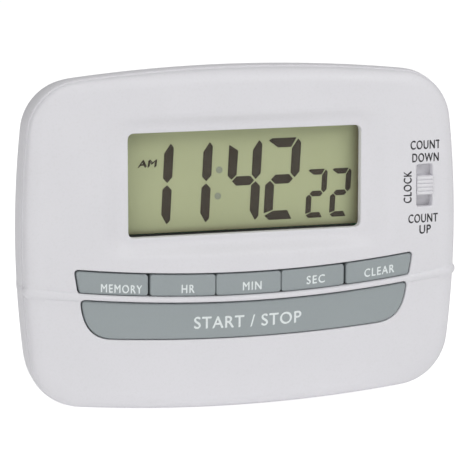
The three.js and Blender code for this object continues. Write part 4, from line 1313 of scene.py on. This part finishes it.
def board_mask():
    """Green solder mask over copper tracks that run in parallel lanes."""
    made = Shader("board_green", Coat_Weight=0.3, Coat_Roughness=0.2)
    lane = made.math("MULTIPLY", made.axis("X"), 0.8)
    wander = made.math("MULTIPLY", made.noise(5, 1, (1, 1, 3)), 5)
    tracks = made.math("SINE", made.math("MULTIPLY", made.math("ADD", lane, wander), 2 * math.pi))
    copper = made.between(tracks, 0, 1, 0.25, 0.45)
    tone = made.ramp(made.noise(10, 3), (0.3, shade(20, 84, 48)), (0.7, shade(26, 98, 58)))
    made.link(made.mixed(copper, tone, shade(44, 128, 74)), "Base Color")
    made.link(made.between(made.noise(3, 4), 0.3, 0.45), "Roughness")
    made.bump(copper, 0.03)
    return made.material


def cell_jacket():
    """A plain two-tone printed jacket with bare steel at both ends."""
    made = Shader("battery_jacket", Coat_Weight=0.4, Coat_Roughness=0.15)
    along = made.axis("X")
    band = made.math("GREATER_THAN", along, 13)
    scuffs = made.noise(2, 6)
    blue = made.ramp(scuffs, (0.3, shade(70, 84, 104)), (0.7, shade(82, 98, 120)))
    print_tone = made.mixed(band, blue, shade(176, 122, 66))
    ends = made.math("GREATER_THAN", made.math("ABSOLUTE", made.math("SUBTRACT", along, 0.4)), 21.2)
    made.link(made.mixed(ends, print_tone, shade(196, 198, 200)), "Base Color")
    made.link(ends, "Metallic")
    made.link(made.between(scuffs, 0.24, 0.4), "Roughness")
    made.bump(scuffs, 0.008)
    return made.material


FILM_OLIVE = (182, 188, 146)
# colour of the painted shade at the display film's right and bottom edges
FILM_SHADE_BROWN = (96, 76, 52)
CASE_COLOUR = shade(233, 232, 236)
KEY_COLOUR = shade(160, 168, 170)
STEEL = shade(200, 201, 203)

MATERIALS = {
    "case_white": plastic("case_white", CASE_COLOUR, 0.45),
    "key_grey": plastic("key_grey", KEY_COLOUR, 0.42, grain=0.3),
    "clear_window": clear_plastic(),
    "lcd_glass": display_glass(),
    "lcd_reflector": reflector_film(),
    "inner_plastic": plastic("inner_plastic", shade(226, 225, 224), 0.5),
    "strip_rubber": rubber("strip_rubber", shade(58, 58, 62), layers=0.5),
    "keypad_rubber": rubber("keypad_rubber", shade(150, 152, 152)),
    "black_plastic": plastic("black_plastic", shade(40, 40, 43), 0.4, mottle=0.15),
    "board_green": board_mask(),
    "steel": metal("steel", STEEL, 0.3),
    "buzzer_brass": metal("buzzer_brass", shade(206, 172, 96), 0.28, (1, 1, 9)),
    "buzzer_ceramic": plastic("buzzer_ceramic", shade(226, 224, 216), 0.5, 0.1, 0.02, 0.06),
    "wire_red": plastic("wire_red", shade(166, 44, 38), 0.32, mottle=0.08),
    "wire_black": plastic("wire_black", shade(40, 40, 42), 0.32, mottle=0.12),
    "battery_jacket": cell_jacket(),
    "magnet_ferrite": plastic("magnet_ferrite", shade(72, 74, 77), 0.55, 0.15, 0.03, 0.12),
}
KEY_INK = ink("key_ink", shade(236, 242, 242), 0.5, 0.1)
CASE_INK = ink("case_ink", shade(40, 38, 42), 0.5, 0.2, 1.2)
LCD_INK = ink("lcd_ink", shade(50, 38, 24), 0.7, 0.1, 1.15)
FAINT_INK = ink("faint_ink", shade(146, 152, 132), 0.5, 0.05, 1.02)
SOLDER = metal("solder", shade(188, 190, 194), 0.22)


# ---- Assembly ----

NODE_SLOT = {part["node"]: part["material_slot"] for part in frame["record"]["subparts"]}


def body_with(node):
    return body_of(frame["nodes"][node])[0]


def stand_for(node, skin, sharp=32):
    """A detailed piece in place of one CAD node, on its body and in its slot's material."""
    slot = NODE_SLOT[node]
    made = piece(f"{node}_shape", skin, MATERIALS[slot], (node,), body_with(node), sharp)
    return made


def add_case():
    stand_for("front_shell", front_shell(), 40)
    stand_for("rear_shell", rear_shell(), 40)
    for side, x in (("left", -36.0), ("right", 36.0)):
        for end, z in (("top", 25.2), ("bottom", -25.2)):
            skin = screw(x, z, -8.9, head=2.3, head_height=1.5, shank=1.1, length=7.8)
            stand_for(f"case_screw_{end}_{side}", skin)


def add_display():
    stand_for("display_window", display_window())
    pane, film = rectangle(-27, 27, -1.8, 24.8, 0.15, 3), rectangle(-27, 27, 1.4, 24.8, 0.15, 3)
    stand_for("lcd_front_glass", plate(pane, [], -16.6, -15.9, 0.05))
    rear = stand_for("lcd_rear_glass", plate(film, [], -15.8, -15.1, 0.05))
    rear.data.materials[0] = MATERIALS["lcd_reflector"]
    stand_for("lcd_reflector", plate(film, [], -15.0, -14.7, 0.04))
    outside, inside = rectangle(-29.3, 29.3, -3.1, 27.1, 0.8, 3), rectangle(-27.3, 27.3, -2.1, 25.1, 0.3, 3)
    stand_for("display_frame", plate(outside, [inside], -17.75, -14.5, 0.12))
    stand_for("contact_strip", plate(rectangle(-25, 25, -1.4, 0.9, 0.15, 2), [], -15.8, -13.9, 0.08))
    piece("lcd_digits", digits(), LCD_INK)
    dots = [prism(circle(x, z, 0.73, 24)) for x, z in ((-4.67, 14.05), (-4.98, 8.56))]
    piece("lcd_colon", joined(*dots), FAINT_INK)
    style = dict(bold=0.2, slant=0.1, depth=(0, 0.04))
    marker = lettering("AM", (-20.1, 16.0), (4.2, 1.6), level(FILM_FRONT), **style)
    piece("lcd_morning_marker", marker, LCD_INK)


def add_keys():
    for i, name in enumerate(KEY_NAMES):
        stand_for(name, small_key(i), 40)
    stand_for("start_stop_key", start_key(), 40)
    stand_for("keypad_mat", keypad_mat())
    stand_for("switch_knob", switch_knob(), 50)


def add_words():
    key_top = behind(KEY_RECESS)
    words = (
        ("MEMORY", -27.1, -0.9, 8.6), ("HR", -13.1, -0.7, 2.8), ("MIN", 0.7, -0.5, 4.1),
        ("SEC", 14.7, -0.3, 4.1), ("CLEAR", 29.1, -0.4, 6.9),
    )
    for name, (word, x, drop, width) in zip(KEY_NAMES, words):
        place = (x, arc(ROW_MIDDLE + drop, x))
        skin = lettering(word, place, (width, 1.8), key_top, follows=True, bold=0.09, spacing=1.2)
        piece(f"{name}_word", skin, KEY_INK, body=body_with(name))
    place = (-0.1, START_MIDDLE - 0.35)
    skin = lettering("START / STOP", place, (23.4, 2.6), key_top, follows=True, bold=0.1)
    piece("start_stop_key_word", skin, KEY_INK, body=body_with("start_stop_key"))
    for name, word, x, z, width, turned in (
        ("count_word_top", "COUNT", 39.5, 18.1, 7.0, False),
        ("down_word", "DOWN", 39.5, 15.4, 6.2, False),
        ("clock_word", "CLOCK", 35.35, 9.3, 6.8, True),
        ("count_word_bottom", "COUNT", 39.0, 2.5, 6.9, False),
        ("up_word", "UP", 39.5, 0.1, 2.7, False),
    ):
        skin = lettering(word, (x, z), (width, 1.9), face, turned, bold=0.09)
        piece(name, skin, CASE_INK)


def add_switch():
    spans = (SLOT_X - 1, SLOT_X + 1), (-16.5, -14.6), (SLOT_Z - 1.2, SLOT_Z + 1.2)
    stand_for("switch_slider", block(*spans, 0.1))
    can = block((SLOT_X - 3, SLOT_X + 3), (-15.9, -13.9), (SLOT_Z - 7.2, SLOT_Z + 7.2), 0.15)
    track = block((SLOT_X - 1.4, SLOT_X + 1.4), (-17, -14.4), (SLOT_Z - 4.1, SLOT_Z + 4.1), 0)
    stand_for("switch_body", carved(can, [track]))


def add_board():
    stand_for("circuit_board", circuit_board())
    stand_for("chip_cover", chip_cover(), 60)
    turns = [math.pi / 2 * i / 6 for i in range(7)]
    ends = [(1.5 - 0.3 * (1 - math.sin(t)), 0.3 * (1 - math.cos(t))) for t in turns]
    profile = [(0, 4), *((r, 4 + a) for r, a in ends), *((r, 10 - a) for r, a in reversed(ends)), (0, 10)]
    stand_for("quartz_crystal", lathe(profile, (0, -10.9, -7), "X", 32))
    for i, (x, z) in enumerate(BOARD_SCREWS):
        skin = screw(x, z, -12.5, head=1.8, head_height=1.1, shank=0.8, length=4.2)
        stand_for(f"board_screw_{i + 1}", skin)
    stand_for("buzzer_disc", disc(BUZZER_X, BUZZER_Z, 8.8, -4.0, -3.7))
    stand_for("buzzer_ceramic", disc(BUZZER_X, BUZZER_Z, 6.5, -4.4, -4.1))
    for name, (radius, *path) in LEADS.items():
        stand_for(name, tube(curve_through(path), radius))
        x, _, z = path[-1]
        blob = lathe([(0, -0.4), (0.55, -0.2), (0.95, 0.1), (0, 0.1)], (x, -12.68, z), "Y", 24)
        made = piece(f"{name}_solder", blob, SOLDER)


def add_battery():
    stand_for("battery_cell", battery_cell(), 40)
    stand_for("battery_spring", contact_spring(), 40)
    stand_for("battery_plate", contact_plate(1))


def add_back():
    stand_for("battery_door", battery_door(), 40)
    stand_for("fold_out_stand", fold_out_stand(), 40)
    stand_for("stand_pin", stand_pin())
    for name, side in (("left_magnet", -1), ("right_magnet", 1)):
        stand_for(name, disc(side * MAGNET_X, MAGNET_Z, 6, -2, 0, 0.2))


for add in (add_case, add_display, add_keys, add_words, add_switch, add_board, add_battery, add_back):
    add()


# ---- Floor, lights and camera ----

def add_floor():
    mesh = bpy.data.meshes.new("floor")
    reach, z = 3.0, cad_bounds[0].z
    corners = [(x * reach, y * reach, z) for x, y in ((-1, -1), (1, -1), (1, 1), (-1, 1))]
    mesh.from_pydata(corners, [], [(0, 1, 2, 3)])
    floor = bpy.data.objects.new("floor", mesh)
    bpy.context.scene.collection.objects.link(floor)
    made = Shader("floor_paper", Roughness=0.9, Emission_Color=(1, 1, 1, 1))
    seen = made.node("ShaderNodeLightPath").outputs["Is Camera Ray"]
    made.link(made.between(seen, 0.2, 0.72, 0, 1), "Emission Strength")
    fibres = made.noise(2, 4)
    made.link(made.ramp(fibres, (0.3, (0.88, 0.88, 0.88, 1)), (0.7, (0.93, 0.93, 0.93, 1))), "Base Color")
    mesh.materials.append(made.material)


def add_light(name, place, aim, size, power):
    light = bpy.data.lights.new(name, "AREA")
    light.shape = "DISK"
    light.size = size
    light.energy = power
    made = bpy.data.objects.new(name, light)
    made.location = place
    made.rotation_euler = (Vector(aim) - Vector(place)).to_track_quat("-Z", "Y").to_euler()
    bpy.context.scene.collection.objects.link(made)


def add_world(seen=1.0, lighting=0.28):
    """White all round, dimmer as a light than as a background."""
    world = bpy.data.worlds.new("studio")
    bpy.context.scene.world = world
    world.use_nodes = True
    nodes, links = world.node_tree.nodes, world.node_tree.links
    ray = nodes.new("ShaderNodeLightPath")
    strength = nodes.new("ShaderNodeMapRange")
    strength.inputs["To Min"].default_value = lighting
    strength.inputs["To Max"].default_value = seen
    links.new(ray.outputs["Is Camera Ray"], strength.inputs["Value"])
    links.new(strength.outputs["Result"], nodes["Background"].inputs["Strength"])
    nodes["Background"].inputs["Color"].default_value = (1, 1, 1, 1)


def add_camera():
    azimuth, elevation, distance = math.radians(-17.3), math.radians(9.7), 0.543
    back = Vector((math.sin(azimuth), -math.cos(azimuth), 0)) * math.cos(elevation)
    back.z = math.sin(elevation)
    rotation = back.to_track_quat("Z", "Y")
    middle = Vector((0, -RIM * MM, 0)) + rotation @ Vector((-0.00117, 0.0001, 0))
    camera = bpy.data.cameras.new("camera")
    camera.lens, camera.sensor_width = 199.15, 36
    camera.clip_start, camera.clip_end = 0.01, 20
    made = bpy.data.objects.new("camera", camera)
    made.location = middle + back * distance
    made.rotation_euler = rotation.to_euler()
    bpy.context.scene.collection.objects.link(made)
    bpy.context.scene.camera = made


add_floor()
add_world()
add_light("key", (0.5, -0.75, 0.6), (0, 0, 0), 0.5, 2.7)
add_light("fill", (-0.8, -0.6, 0.2), (0, 0, 0), 0.6, 1.6)
add_light("top", (0, -0.25, 0.85), (0, 0, 0), 1.0, 2.4)
add_camera()
bpy.context.scene.view_settings.view_transform = "Standard"
bpy.context.scene.cycles.transparent_max_bounces = 32
